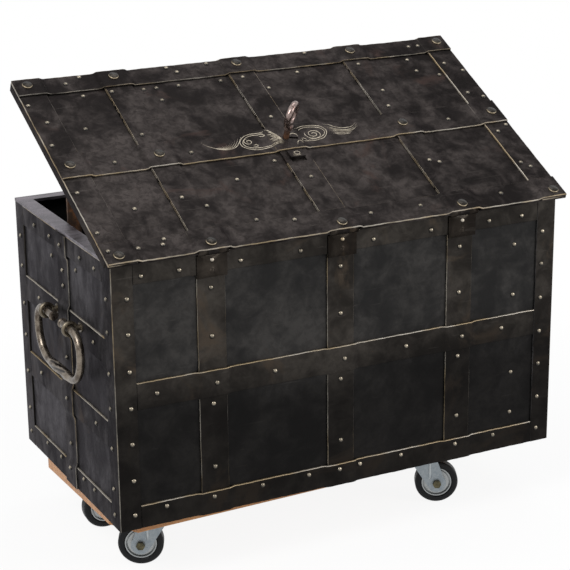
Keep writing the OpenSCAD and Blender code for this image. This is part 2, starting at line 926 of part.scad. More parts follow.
module lid_sheet() {
  color(lid_iron)
    on_lid()
      difference() {
        block([-lid_x, lid_back, lid_bottom], [lid_x, lid_front, lid_top]);
        barrel_notches(barrel_l + 2);
        at_keyhole(lid_bottom - 1)
          keyhole(sheet_t + 2, slot_turn);
      }
}

// The lip hangs under the lid's edge at the front and both ends, outside the walls.
module lid_lip() {
  low = lid_bottom - lip_h;
  color(iron)
    on_lid() {
      for (side = [0, 1])
        mirror([side, 0, 0])
          block([lid_x - lip_t, -half_d, low],
            [lid_x, lid_front - lip_t - clearance, lid_bottom]);
      block([-lid_x, lid_front - lip_t, low], [lid_x, lid_front, lid_bottom]);
    }
}

// The three straps across the lid. Each ends in the middle knuckle of its hinge.
module lid_cross_straps() {
  notch_y = pin_y + knuckle_r + clearance;
  color(iron)
    on_lid()
      difference() {
        for (x = strap_xs)
          translate([x, 0, 0]) {
            block([-strap_w / 2, notch_y, lid_top], [strap_w / 2, lid_front, strap_top]);
            block([-knuckle_l / 2, pin_y, lid_top], [knuckle_l / 2, notch_y + 1, strap_top]);
            knuckle();
          }
        for (x = strap_xs)
          translate([x, 0, 0])
            pin_bore();
        block([lock_x - cover_w / 2 - clearance, cover_end - cover_l - cover_room, lid_top - 1],
          [lock_x + cover_w / 2 + clearance, key_r + cover_room, strap_top + 1]);
        at_keyhole(lid_top - 1)
          keyhole(strap_t + 2, slot_turn);
      }
}

module lid_end_bands() {
  color(iron)
    on_lid()
      for (side = [-1, 1])
        translate([side * lid_end_x, (lid_back + lid_front) / 2, lid_top + strap_t / 2])
          cube([lid_end_band_w, lid_front - lid_back, strap_t], center = true);
}

// The three long bands, set over the cross straps and the end bands.
module lid_long_bands() {
  hinge_laps = [for (x = strap_xs) [x - barrel_lap, x + barrel_lap]];
  left = [[-lid_x, -end_lap_x]];
  right = [[end_lap_x, lid_x]];
  color(iron)
    on_lid()
      difference() {
        translate([0, 0, lid_top]) {
          translate([0, lid_back_y, 0])
            lap_band(-lid_x, lid_x, lid_back_band_w, concat(left, hinge_laps, right));
          translate([0, lid_front_y, 0])
            lap_band(-lid_x, lid_x, lid_front_band_w, concat(left, strap_laps, right));
          lap_band(-lid_x, lid_x, lid_mid_band_w, concat(left, strap_laps, right));
        }
        at_keyhole(lid_top - 1)
          keyhole(lap_rise + strap_t + 2, slot_turn);
      }
}

// A row of rivets along the lid.
module lid_row(marks, y, out) {
  rivets([for (m = marks) [between(lid_xs, m), y, out]]);
}

// A row of rivets up the lid, on an end band or a cross strap. Each one has its mark and
// its distance to the side, as a share of half the strap.
module lid_column(x, width, places) {
  rivets([for (p = places) [x + p[0] * width / 2, between(lid_ys, p[1]), strap_t]]);
}

module lid_rivets() {
  far_y = between(lid_ys, 1.763);
  near_y = between(lid_ys, 0.235);
  band_low_y = lid_front_y + 0.34 * lid_front_band_w;
  back_y = lid_back_y + 0.09 * lid_back_band_w;
  by_lap = end_lap_x - lap_slope - rivet_r - 2 * clearance;
  color(bright_iron)
    on_lid()
      translate([0, 0, lid_top]) {
        lid_row([0.507, 1.504, 3.606], lid_front_y, strap_t);
        lid_row([0.67, 1.442, 1.77, 2.617], band_low_y, strap_t);
        lid_row([0.617, 1.181, 1.283, 1.46, 1.805, 2.459, 3.509], far_y, 0);
        lid_row([1.27, 2.144, 3.519], between(lid_ys, 1.615), 0);
        lid_row([0.554, 1.243, 3.458], -0.07 * lid_mid_band_w, strap_t);
        lid_row([1.42], near_y, 0);
        lid_row([0.606, 1.681], lid_back_y + 0.33 * lid_back_band_w, strap_t);
        lid_row([0.571, 2.266, 2.68, 3.422], back_y, strap_t);
        rivets([[by_lap, lid_front_y, strap_t], [-by_lap, back_y, strap_t],
          [-lid_x + 0.2 * lid_end_band_w, back_y, lap_rise + strap_t]]);
        lid_column(-lid_end_x, lid_end_band_w,
          [[-0.68, 1.707], [0, 1.497], [-0.51, 1.242], [-0.51, 0.726], [-0.6, 0.317]]);
        lid_column(lid_end_x, lid_end_band_w, [[-0.43, 1.653], [0.64, 1.541], [-0.38, 1.264],
          [0.64, 1.197], [0.64, 0.839], [-0.38, 0.778], [-0.51, 0.409], [0, 0.352]]);
        lid_column(strap_x1, strap_w, [[-0.67, 1.763], [-0.33, 1.242], [-0.13, 0.543]]);
        lid_column(strap_x2, strap_w, [[-0.13, 1.763], [0, 1.264], [0.04, 0.57]]);
        lid_column(strap_x3, strap_w,
          [[0, 1.763], [0.38, 1.412], [-0.04, 1.224], [0.04, 0.57], [0.67, 0.535]]);
        rivets([for (p = [[0.467, 1.394], [1.819, 0.796], [1.46, 0.657], [0.507, 0.509],
          [1.133, 0.439], [3.712, 1.537]]) [between(lid_xs, p[0]), between(lid_ys, p[1]), 0]]);
      }
}

// A large flat head with a bevelled edge.
module flat_head() {
  cylinder(r = stud_r, h = stud_h - stud_bevel);
  translate([0, 0, stud_h - stud_bevel])
    cylinder(r1 = stud_r, r2 = stud_r - stud_bevel, h = stud_bevel);
}

// Large heads where the long bands cross the end bands and the cross straps.
module lid_large_heads() {
  rows = [lid_back_y - 8, 0, lid_front_y + 4];
  color(iron)
    on_lid()
      translate([0, 0, lid_top + lap_rise + strap_t]) {
        for (x = [-lid_x + 22, strap_x1, strap_x3, lid_x - 18], y = rows)
          translate([x, y, 0])
            flat_head();
        for (y = [rows[0], rows[2]])
          translate([strap_x2, y, 0])
            flat_head();
      }
}

module lock_plate() {
  color(iron)
    on_lid()
      difference() {
        block([lock_x - lock_plate_l / 2, -lock_plate_d / 2, plate_low],
          [lock_x + lock_plate_l / 2, lock_plate_d / 2, lid_bottom]);
        at_keyhole(plate_low - 1)
          keyhole(lock_plate_t + 2, slot_turn);
      }
}

// A staple under the lock plate that a bar along Y runs through, its middle at X = Y = 0.
module guide(bar_w) {
  low = bolt_z - clearance - guide_wall;
  wide = bar_w / 2 + clearance;
  difference() {
    block([-wide - guide_wall, -guide_w / 2, low], [wide + guide_wall, guide_w / 2, plate_low]);
    block([-wide, -guide_w, low + guide_wall], [wide, guide_w, plate_low + 1]);
  }
}

module bolt_guides() {
  guide_y = lock_plate_d / 2 - guide_w / 2;
  guide_x = lock_plate_l / 2 - guide_w;
  color(iron)
    on_lid()
      translate([lock_x, 0, 0]) {
        for (x = [-bolt_spread, bolt_spread], y = [-guide_y, guide_y])
          translate([x, y, 0])
            guide(bolt_w);
        for (y = [-tail_guide, tail_guide])
          translate([0, y, 0])
            guide(tail_w);
        for (x = [-guide_x, -end_guide, end_guide, guide_x])
          translate([x, 0, 0])
            rotate([0, 0, 90])
              guide(bolt_w);
      }
}

// The two ears that hold the stay's pin, hung from the lid.
module stay_bracket() {
  wide = stay_w / 2 + clearance;
  foot = ear_r + 3;
  color(iron)
    on_lid()
      translate([stay_x, stay_y, 0])
        difference() {
          union() {
            block([-wide - ear_t, -foot, lid_bottom - ear_t], [wide + ear_t, foot, lid_bottom]);
            for (x = [-wide - ear_t, wide]) {
              block([x, -ear_r, pivot_z], [x + ear_t, ear_r, lid_bottom - 1]);
              translate([x, 0, pivot_z])
                rotate([0, 90, 0])
                  cylinder(r = ear_r, h = ear_t);
            }
          }
          translate([-2 * stay_w, 0, pivot_z])
            rotate([0, 90, 0])
              cylinder(r = stay_pin_r + shaft_play, h = 4 * stay_w);
        }
}

module stay_pin() {
  color(bright_iron)
    on_lid()
      translate([stay_x, stay_y, pivot_z])
        rotate([0, 90, 0])
          cylinder(r = stay_pin_r, h = stay_w + 2 * (clearance + ear_t), center = true);
}

// The stay hangs straight down while the lid stands open as photographed.
module lid_stay() {
  color(rust)
    placed()
      translate([stay_x, rest_pivot[0], rest_pivot[1]])
        difference() {
          union() {
            block([-stay_w / 2, -stay_t / 2, -stay_l], [stay_w / 2, stay_t / 2, 0]);
            rotate([0, 90, 0])
              cylinder(r = stay_pin_r + 4, h = stay_w, center = true);
          }
          rotate([0, 90, 0])
            cylinder(r = stay_pin_r + shaft_play, h = 2 * stay_w, center = true);
        }
}

// The key: a ring bow, a collar, the stem and its bit, standing in the keyhole.
module key() {
  color(bright_iron)
    on_lid()
      at_keyhole(0)
        rotate([0, 0, bit_turn]) {
          translate([0, 0, bit_z])
            cylinder(r = key_r, h = lap_top + bow_foot + bow_bar - bit_z);
          translate([0, -bit_t / 2, bit_z])
            cube([bit_reach, bit_t, bit_h]);
          translate([0, 0, lap_top + bow_foot - collar_h])
            cylinder(r = collar_r, h = collar_h);
          translate([0, 0, bow_z])
            rotate([90, 0, 0])
              rotate_extrude()
                translate([bow_r, 0])
                  circle(bow_bar);
        }
}

// The disc that the bit turns, with two lugs that the bit stands between.
module lock_cam() {
  color(iron)
    on_lid()
      at_keyhole(0) {
        difference() {
          translate([0, 0, cam_z])
            cylinder(r = cam_r, h = cam_t);
          translate([0, 0, cam_z - 1])
            keyhole(cam_t + 2, bit_turn);
        }
        rotate([0, 0, bit_turn])
          for (side = [0, 1])
            mirror([0, side, 0])
              translate([bit_reach - lug_l, bit_t / 2 + clearance, bit_z + 2])
                cube([lug_l, lug_t, cam_z - bit_z - 1]);
      }
}

// Two bolts joined by a yoke, whose tail reaches towards the disc. They shoot along +Y.
module bolt_pair() {
  yoke_y = lock_plate_d / 2 - guide_w - yoke_gap - yoke_w;
  side = bolt_w / 2;
  translate([lock_x, 0, bolt_z]) {
    block([-bolt_spread - side, yoke_y, 0], [bolt_spread + side, yoke_y + yoke_w, bolt_t]);
    for (x = [-bolt_spread, bolt_spread])
      block([x - side, yoke_y + 1, 0], [x + side, tip_y, bolt_t]);
    block([-tail_w / 2, tail_r, 0], [tail_w / 2, yoke_y + 1, bolt_t]);
  }
}

module front_bolts() {
  color(bright_iron) on_lid() bolt_pair();
}

module back_bolts() {
  color(bright_iron) on_lid() mirror([0, 1, 0]) bolt_pair();
}

// The bolt of one end, from the disc to its tip.
module end_bolt(from, to) {
  color(bright_iron)
    on_lid()
      block([from, -bolt_w / 2, bolt_z], [to, bolt_w / 2, bolt_z + bolt_t]);
}

module left_bolt() {
  end_bolt(-tip_x, lock_x - tail_r);
}

module right_bolt() {
  end_bolt(lock_x + tail_r, tip_x);
}

// The cover slides in the middle strap, under the band, and the thumb pushes its raised end.
module keyhole_cover() {
  end_y = cover_end - cover_l;
  color(iron)
    on_lid()
      at_keyhole(lid_top + 0.2) {
        block([-cover_w / 2, end_y, 0], [cover_w / 2, cover_end, cover_t]);
        block([-cover_w / 2, end_y, 0], [cover_w / 2, end_y + thumb_l, cover_t + thumb_h]);
      }
}

// A quarter of a bent bar: from the +X side of its centre round to the +Y side.
module bend(bar, r, from) {
  rotate([0, 0, from])
    rotate_extrude(angle = 90)
      translate([r, 0])
        circle(bar);
}

// A straight bar along X.
module bar(r1, r2, from, to) {
  translate([from, 0, 0])
    rotate([0, 90, 0])
      cylinder(r1 = r1, r2 = r2, h = to - from);
}

// Half of a handle in a flat layout: its pivot is the X axis, and it hangs towards -Y.
module half_bail() {
  limb_x = bail_w / 2;
  inner = eye_gap / 2 - nub_l;
  turn_x = limb_x - bend_up_r;
  grip_x = limb_x - bend_low_r;
  bar(bail_r, bail_r, inner, turn_x);
  translate([inner, 0, 0])
    sphere(bail_r + 1.6);
  translate([turn_x, -bend_up_r, 0])
    bend(bail_r, bend_up_r, 0);
  translate([limb_x, -bend_up_r, 0])
    rotate([0, 0, -90])
      bar(bail_r, bail_r, 0, bail_drop - bend_up_r - bend_low_r);
  translate([grip_x, bend_low_r - bail_drop, 0])
    bend(bail_r, bend_low_r, -90);
  translate([0, -bail_drop, 0]) {
    bar(grip_r, grip_r, 0, grip_x - 20);
    bar(grip_r, bail_r, grip_x - 20, grip_x);
  }
}

module handle() {
  translate([handle_y, handle_z, eye_out]) {
    half_bail();
    mirror([1, 0, 0])
      half_bail();
  }
}

module left_handle() {
  color(iron) on_left(0) handle();
}

module right_handle() {
  color(iron) on_right(0) handle();
}

module caster_fork_1() {
  color(zinc) at_caster(0) fork();
}

module caster_fork_2() {
  color(zinc) at_caster(1) fork();
}

module caster_fork_3() {
  color(zinc) at_caster(2) fork();
}

module caster_fork_4() {
  color(zinc) at_caster(3) fork();
}

module axle_1() {
  color(bright_iron) at_caster(0) axle();
}

module axle_2() {
  color(bright_iron) at_caster(1) axle();
}

module axle_3() {
  color(bright_iron) at_caster(2) axle();
}

module axle_4() {
  color(bright_iron) at_caster(3) axle();
}

module wheel_hub_1() {
  color(zinc) at_caster(0) wheel_hub();
}

module wheel_hub_2() {
  color(zinc) at_caster(1) wheel_hub();
}

module wheel_hub_3() {
  color(zinc) at_caster(2) wheel_hub();
}

module wheel_hub_4() {
  color(zinc) at_caster(3) wheel_hub();
}

module tyre_1() {
  color(rubber) at_caster(0) tyre();
}

module tyre_2() {
  color(rubber) at_caster(1) tyre();
}

module tyre_3() {
  color(rubber) at_caster(2) tyre();
}

module tyre_4() {
  color(rubber) at_caster(3) tyre();
}

floor_sheet();
back_sheet();
front_sheet();
left_end_sheet();
right_end_sheet();
rim_frame();
corner_straps();
upright_straps();
back_bands();
front_bands();
end_bands();
end_straps();
wall_rivets();
end_rivets();
false_keyhole_plate();
hinge_leaves();
hinge_pins();
handle_eyes();
stay_peg();
board();
caster_plates();
caster_screws();
lid_sheet();
lid_lip();
lid_cross_straps();
lid_end_bands();
lid_long_bands();
lid_rivets();
lid_large_heads();
lock_plate();
bolt_guides();
stay_bracket();
stay_pin();
key();
lock_cam();
front_bolts();
back_bolts();
left_bolt();
right_bolt();
keyhole_cover();
lid_stay();
left_handle();
right_handle();
caster_fork_1();
caster_fork_2();
caster_fork_3();
caster_fork_4();
axle_1();
axle_2();
axle_3();
axle_4();
wheel_hub_1();
wheel_hub_2();
wheel_hub_3();
wheel_hub_4();
tyre_1();
tyre_2();
tyre_3();
tyre_4();
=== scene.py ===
# %% [markdown]
# # An iron armada chest on a wheeled board
#
# This lesson dresses a measured model of a riveted iron chest. The chest is sheet iron with
# flat bands riveted over it, a lid that stands a little open, a key in the lid, two drop
# handles, and a plywood board on four swivel casters. The measured model gives every size and
# every place. What follows gives it bands with hammered edges, engraving, and finishes.

# %% Load the frame
import json
import math

import bmesh
import bpy
import numpy as np
from mathutils import Matrix, Vector


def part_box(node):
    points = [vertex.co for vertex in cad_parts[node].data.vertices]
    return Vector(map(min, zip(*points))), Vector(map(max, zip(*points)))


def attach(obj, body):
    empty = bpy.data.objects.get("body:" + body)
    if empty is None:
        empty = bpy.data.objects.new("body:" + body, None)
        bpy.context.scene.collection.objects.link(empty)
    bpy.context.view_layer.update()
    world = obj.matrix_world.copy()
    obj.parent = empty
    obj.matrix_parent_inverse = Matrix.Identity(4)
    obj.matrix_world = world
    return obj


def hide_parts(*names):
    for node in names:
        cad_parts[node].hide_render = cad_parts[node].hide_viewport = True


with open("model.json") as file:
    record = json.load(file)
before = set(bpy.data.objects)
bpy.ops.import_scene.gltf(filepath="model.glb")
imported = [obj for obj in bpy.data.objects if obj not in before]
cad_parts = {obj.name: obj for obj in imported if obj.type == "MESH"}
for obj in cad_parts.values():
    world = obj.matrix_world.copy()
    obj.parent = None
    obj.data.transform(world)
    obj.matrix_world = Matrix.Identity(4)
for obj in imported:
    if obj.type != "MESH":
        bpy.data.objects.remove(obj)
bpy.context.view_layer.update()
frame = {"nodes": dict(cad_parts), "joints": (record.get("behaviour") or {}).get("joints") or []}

# %% [markdown]
# ## Sizes that everything shares
#
# The frame already knows where the sheets, the rim and the hinge are, so those places are
# read from it. The sizes of the bands are repeated here in metres, because a band that is
# drawn again has to cover the plain one that it stands for.

# %% Shared sizes
MM = 0.001
STRAP_T = 3 * MM
LAP_RISE = 3.3 * MM
LAP_SLOPE = 7 * MM
STRAP_W = 48 * MM
STRAP_XS = [-236 * MM, -10 * MM, 212 * MM]
CORNER_W = 36 * MM
GAP = 0.3 * MM
rim_low, rim_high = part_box("rim_frame")
HALF_L = rim_high.x
HALF_D = (rim_high.y - rim_low.y) / 2
MIDDLE_Y = (rim_high.y + rim_low.y) / 2
FOOT_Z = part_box("floor_sheet")[0].z
WALL_H = rim_low.z - FOOT_Z
print("body", round(2 * HALF_L, 3), "x", round(2 * HALF_D, 3), "foot at", round(FOOT_Z, 3))

# %% The lid's own place
joints = {j["name"]: j for j in frame["joints"]}
PIN = Vector(joints["lid_hinge"]["pos_m"])
LID_OPEN = -math.radians(joints["lid_hinge"]["range_deg"][0])
LID_SKIN = 3.9 * MM
LID_X = 408.5 * MM
LID_BACK = -7 * MM
LID_FRONT = 446.5 * MM
LID_MIDDLE = 223 * MM


def place(origin, along, up, out):
    """A 4x4 matrix that stands a flat layout in space: its X, Y and Z go to the three arrows."""
    m = Matrix.Identity(4)
    for column, arrow in enumerate((along, up, out, origin)):
        for row in range(3):
            m[row][column] = arrow[row]
    return m


SHEET_Y = HALF_D - STRAP_T
SHEET_X = HALF_L - STRAP_T
RIGHT, AWAY, UP = Vector((1, 0, 0)), Vector((0, 1, 0)), Vector((0, 0, 1))
BACK = place((0, MIDDLE_Y - SHEET_Y, FOOT_Z), RIGHT, UP, -AWAY)
FRONT = place((0, MIDDLE_Y + SHEET_Y, FOOT_Z), RIGHT, UP, AWAY)
LEFT_END = place((-SHEET_X, MIDDLE_Y, FOOT_Z), AWAY, UP, -RIGHT)
RIGHT_END = place((SHEET_X, MIDDLE_Y, FOOT_Z), AWAY, UP, RIGHT)
CHEST = Matrix.Translation((0, MIDDLE_Y, FOOT_Z))
HINGE = Matrix.Translation(PIN) @ Matrix.Rotation(LID_OPEN, 4, "X")
LID = HINGE @ Matrix.Translation((0, 0, LID_SKIN))
print("lid stands open", round(math.degrees(LID_OPEN), 1), "degrees")

# %% [markdown]
# ## The camera
#
# The camera comes first, because it decides which marks are seen. Its place and its lens
# come from the chest's straight edges: the photograph was taken from the hinge side, a
# little to the left and from above, with a long lens.

# %% Camera
CAMERA_AT = (-1.325, -2.620, 1.353)
CAMERA_AZIMUTH = 26.76
CAMERA_ELEVATION = 18.04
CAMERA_ROLL = -0.64
LENS_SHARE = 1816 / 570
SENSOR_MM = 36


def add_object(name, data):
    """A new object with its data, linked to the scene."""
    made = bpy.data.objects.new(name, data)
    bpy.context.scene.collection.objects.link(made)
    return made


camera_data = bpy.data.cameras.new("camera")
camera_data.sensor_width = SENSOR_MM
camera_data.lens = LENS_SHARE * SENSOR_MM
camera = add_object("camera", camera_data)
turn = (
    Matrix.Rotation(math.radians(-CAMERA_AZIMUTH), 4, "Z")
    @ Matrix.Rotation(math.radians(90 - CAMERA_ELEVATION), 4, "X")
    @ Matrix.Rotation(math.radians(CAMERA_ROLL), 4, "Z")
)
camera.matrix_world = Matrix.Translation(CAMERA_AT) @ turn
bpy.context.scene.camera = camera
print("lens", round(camera_data.lens, 1), "mm")

# %% [markdown]
# ## Shader maths as expressions
#
# A material is easier to read when its maths looks like maths. `Wire` wraps one socket, so
# `1 - mask * 0.5` adds the Math nodes itself. `Finish` is one material: its `node` method
# makes any other node, with its settings first and its sockets after.

# %% Wires and finishes
class Wire:
    """One output socket that can be used in sums."""

    def __init__(self, finish, socket):
        self.finish = finish
        self.socket = socket

    def sum_with(self, operation, first, second):
        return self.finish.node("ShaderNodeMath", {"operation": operation}, {0: first, 1: second})

    def __add__(self, other):
        return self.sum_with("ADD", self, other)

    def __radd__(self, other):
        return self.sum_with("ADD", other, self)

    def __sub__(self, other):
        return self.sum_with("SUBTRACT", self, other)

    def __rsub__(self, other):
        return self.sum_with("SUBTRACT", other, self)

    def __mul__(self, other):
        return self.sum_with("MULTIPLY", self, other)

    def __rmul__(self, other):
        return self.sum_with("MULTIPLY", other, self)


class Finish:
    """One material with a Principled shader."""

    def __init__(self, name):
        self.material = bpy.data.materials.new(name)
        self.material.use_nodes = True
        self.tree = self.material.node_tree
        self.shader = self.tree.nodes["Principled BSDF"]

    def put(self, socket, value):
        """Links a wire to a socket, or sets the socket to a plain value."""
        if isinstance(value, Wire):
            self.tree.links.new(value.socket, socket)
        else:
            socket.default_value = value

    def node(self, kind, settings=None, sockets=None, out=0):
        """Adds a node, sets it up, fills its sockets and gives one output as a wire."""
        made = self.tree.nodes.new(kind)
        for key, value in (settings or {}).items():
            setattr(made, key, value)
        for key, value in (sockets or {}).items():
            self.put(made.inputs[key], value)
        return Wire(self, made.outputs[out])

    def set(self, **sockets):
        """Fills the shader's own sockets: Base_Color stands for Base Color."""
        for key, value in sockets.items():
            self.put(self.shader.inputs[key.replace("_", " ")], value)

    def stretched(self, x, y, z):
        """Object coordinates, stretched along each axis."""
        coordinates = self.node("ShaderNodeTexCoord", out="Object")
        return self.node("ShaderNodeMapping", None, {"Vector": coordinates, "Scale": (x, y, z)})

    def noise(self, scale, detail=4.0, rough=0.55, stretch=(1, 1, 1), warp=0.0):
        """Noise from 0 to 1 on Object coordinates. The scale is in waves per metre."""
        sockets = {"Vector": self.stretched(*stretch), "Scale": scale, "Detail": detail}
        sockets.update({"Roughness": rough, "Distortion": warp})
        return self.node("ShaderNodeTexNoise", None, sockets, "Fac")

    def step(self, value, low, high):
        """0 below low, 1 above high, and smooth between."""
        sockets = {"Value": value, "From Min": low, "From Max": high}
        return self.node("ShaderNodeMapRange", {"interpolation_type": "SMOOTHSTEP"}, sockets)

    def mix(self, share, first, second):
        """The first colour where share is 0 and the second where it is 1."""
        made = self.tree.nodes.new("ShaderNodeMix")
        made.data_type = "RGBA"
        self.put(made.inputs["Factor"], share)
        self.put(made.inputs[6], first if isinstance(first, Wire) else (*first, 1))
        self.put(made.inputs[7], second if isinstance(second, Wire) else (*second, 1))
        return Wire(self, made.outputs[2])

    def height(self):
        """How high a point is above the ground, in metres."""
        return self.node("ShaderNodeSeparateXYZ", None, {0: self.stretched(1, 1, 1)}, "Z")

    def rub_and_light(self):
        """How worn a point is, and where it is painted with light or shade, from the mesh's own
        attribute: 0 where it has none.
        """
        return self.node("ShaderNodeAttribute", {"attribute_name": "rub_and_light"}, out="Fac")

    def bump(self, height, strength, distance):
        """A normal from a height. The distance is in metres."""
        sockets = {"Height": height, "Strength": strength, "Distance": distance}
        self.put(self.shader.inputs["Normal"], self.node("ShaderNodeBump", None, sockets))


# %% [markdown]
# ## Blackened iron
#
# Old forged iron is nearly black, but never evenly. It has clouds of grey where the wax is
# thin, brown stains, fine scratches, and bright metal where hands and cloths rub: on edges.
# The edges that face the light are also painted brighter, as a highlight, and the foot of an
# edge is painted black, as the shade under it. Near the floor it is darker. One recipe makes
# all of these, with other numbers for the walls, the ends, the lid, the straps and the inside.
# The ends are painted lighter and greyer than the long walls, for the light that falls on them.
# The `rub_and_light` attribute of a band says where its edges are. Noise scales are in waves
# per metre.

# %% Blackened iron
SILVER_EDGE = (0.44, 0.405, 0.35)
GOLDEN_EDGE = (0.34, 0.265, 0.165)
PAINTED_SHADE = (0.0035, 0.003, 0.003)
LOW_DARK = (0.0048, 0.0045, 0.0044)
DULL_SHEEN = (0.42, 0.41, 0.43, 1)
CLOUDS, SMUDGES, FLECKS, GRAIN = 5.5, 24, 85, 420
DARKEST_BELOW, EVEN_ABOVE = 0.32, 0.44


def blackened(name, dark, cloud, stain, stained, rough, streak=(1, 1, 1), dents=0.5, darker_low=0.0,
        mottled=0.5, flecked=0.3):
    """Dark iron: clouds of two greys, flecks, brown stains, bright edges that are wear and painted
    highlight, painted shade at the foot of edges, and a darker colour low down.
    """
    f = Finish(name)
    clouds = f.noise(CLOUDS, 5, 0.55, streak, 0.8)
    smudges = f.noise(SMUDGES, 5, 0.62, streak, 0.5)
    flecks = f.noise(FLECKS, 4, 0.7, (1, 1, 1), 0.6)
    grain = f.noise(GRAIN, 3, 0.6)
    scratches = f.step(f.noise(60, 2, 0.5, (0.25, 6, 3), 0.4), 0.66, 0.74)
    lighter = f.step(clouds * (1 - mottled) + smudges * mottled, 0.40, 0.63)
    colour = f.mix(lighter, dark, cloud)
    colour = f.mix(f.step(flecks, 0.42, 0.62) * flecked, colour, dark)
    brown = f.step(f.noise(9, 5, 0.65, (1, 1, 1), 1.0), 0.70 - 0.3 * stained, 0.86 - 0.3 * stained)
    colour = f.mix(brown * 0.8, colour, stain)
    colour = f.mix(scratches * 0.08, colour, (0.20, 0.18, 0.16))
    # Darker towards the bottom.
    if darker_low:
        low = 1 - f.step(f.height() + clouds * 0.1, DARKEST_BELOW, EVEN_ABOVE)
        colour = f.mix(low * darker_low, colour, LOW_DARK)
    rub_and_light = f.rub_and_light()
    # Painted shade: where rub_and_light is below 0, at the foot of a band's edge, the colour goes
    # black.
    colour = f.mix(f.step(0 - rub_and_light, 0.05, 0.7), colour, PAINTED_SHADE)
    # Bright edges: wear, and a painted highlight on the edges that face the light.
    wear_and_light = f.step(rub_and_light * (0.55 + f.noise(30, 5, 0.65) * 0.9), 0.42, 0.95)
    edge = f.mix(f.step(f.noise(9, 3, 0.6), 0.42, 0.58), SILVER_EDGE, GOLDEN_EDGE)
    colour = f.mix(wear_and_light, colour, edge)
    f.set(Base_Color=colour, Metallic=0.8, Specular_IOR_Level=0.15, Specular_Tint=DULL_SHEEN)
    f.set(Roughness=rough + (smudges - 0.5) * 0.30 + (grain - 0.5) * 0.10)
    hammered = f.noise(30, 3, 0.5, (1, 1, 1), 0.3) * dents + f.noise(110, 3, 0.6) * 0.16
    f.bump(hammered + grain * 0.04, 0.8, 3.2 * MM)
    return f.material


wall_iron = blackened("black wall iron", (0.018, 0.0176, 0.0174), (0.0428, 0.0405, 0.0387),
    (0.031, 0.024, 0.019), 0.2, 0.46, darker_low=0.72, flecked=0.4)
# The ends' copies are painted lighter and greyer, with upright streaks, for the light and
# reflections that fall on the ends.
lit_end_iron = blackened("end iron painted lighter", (0.030, 0.0288, 0.0298), (0.098, 0.094, 0.099),
    (0.062, 0.052, 0.044), 0.45, 0.44, (1.7, 1.7, 0.75), mottled=0.45)
lit_end_strap_iron = blackened("end strap iron painted lighter", (0.018, 0.0172, 0.0172), (0.080, 0.0755, 0.0765),
    (0.062, 0.049, 0.039), 0.45, 0.44, (1.6, 1.6, 0.7), dents=0.4)
strap_iron = blackened("brown black strap iron", (0.017, 0.0150, 0.0132), (0.048, 0.0425, 0.0370),
    (0.056, 0.043, 0.032), 0.6, 0.44, dents=0.4, darker_low=0.72)
lid_iron = blackened("waxed lid iron", (0.0105, 0.0090, 0.0085), (0.050, 0.0428, 0.0402),
    (0.043, 0.0290, 0.0250), 0.4, 0.5, mottled=0.6, flecked=0.5)
inner_iron = blackened("brown inner iron", (0.030, 0.022, 0.016), (0.070, 0.052, 0.038),
    (0.11, 0.058, 0.028), 0.8, 0.6)

# %% [markdown]
# ## Bright, rusty and plated metal
#
# Rivet heads stand proud, so their tops are polished by every cloth; beside that, each head is
# painted with a highlight on its upper side and shade round its foot. The lid's large flat
# heads are the other way round: black on top, with a golden crescent painted as a highlight on
# the rim of their hinge side. The rim of the chest is bare iron with long streaks. The stay has
# rusted brown. The casters are new: plated steel with a fine crystal pattern.

# %% Other metals
def bare_iron(name, pale, dull, rough, streak=(1, 1, 1), wear_and_light=False):
    """Bare iron: a pale and a dull grey mixed by fine noise, with dull pits, and grooves painted
    black as shade where rub_and_light is low.
    """
    f = Finish(name)
    patches = f.step(f.noise(60, 5, 0.65, streak, 0.4), 0.35, 0.65)
    pits = f.step(f.noise(700, 3, 0.6), 0.60, 0.72)
    colour = f.mix(patches, dull, pale)
    colour = f.mix(pits * 0.5, colour, (0.04, 0.034, 0.028))
    if wear_and_light:
        # Painted shade: black where rub_and_light is low, in the grooves of a twisted grip.
        colour = f.mix(f.step(f.rub_and_light(), 0.05, 0.55), (0.014, 0.011, 0.009), colour)
    f.set(Base_Color=colour, Metallic=0.9, Roughness=rough + patches * 0.12 + pits * 0.2)
    f.bump(f.noise(240, 3, 0.6, streak), 0.35, 0.5 * MM)
    return f.material


def head_with_painted_light(name, top, foot):
    """A rivet head: one colour on top, where its rub_and_light is 1, and another round its foot;
    between them they paint its highlight and its shade.
    """
    f = Finish(name)
    mottle = f.noise(190, 4, 0.6)
    polish_and_highlight = f.step(f.rub_and_light() + (mottle - 0.5) * 0.5, 0.45, 1.0)
    dull = tuple(0.5 * part for part in top)
    colour = f.mix(polish_and_highlight, foot, f.mix(f.step(f.noise(19, 3, 0.6), 0.35, 0.65), top, dull))
    f.set(Base_Color=colour, Metallic=0.55 + polish_and_highlight * 0.35, Roughness=0.42 - polish_and_highlight * 0.18)
    f.bump(f.noise(420, 3, 0.6), 0.3, 0.3 * MM)
    return f.material


HELD_FROM_MM = (17, 33)


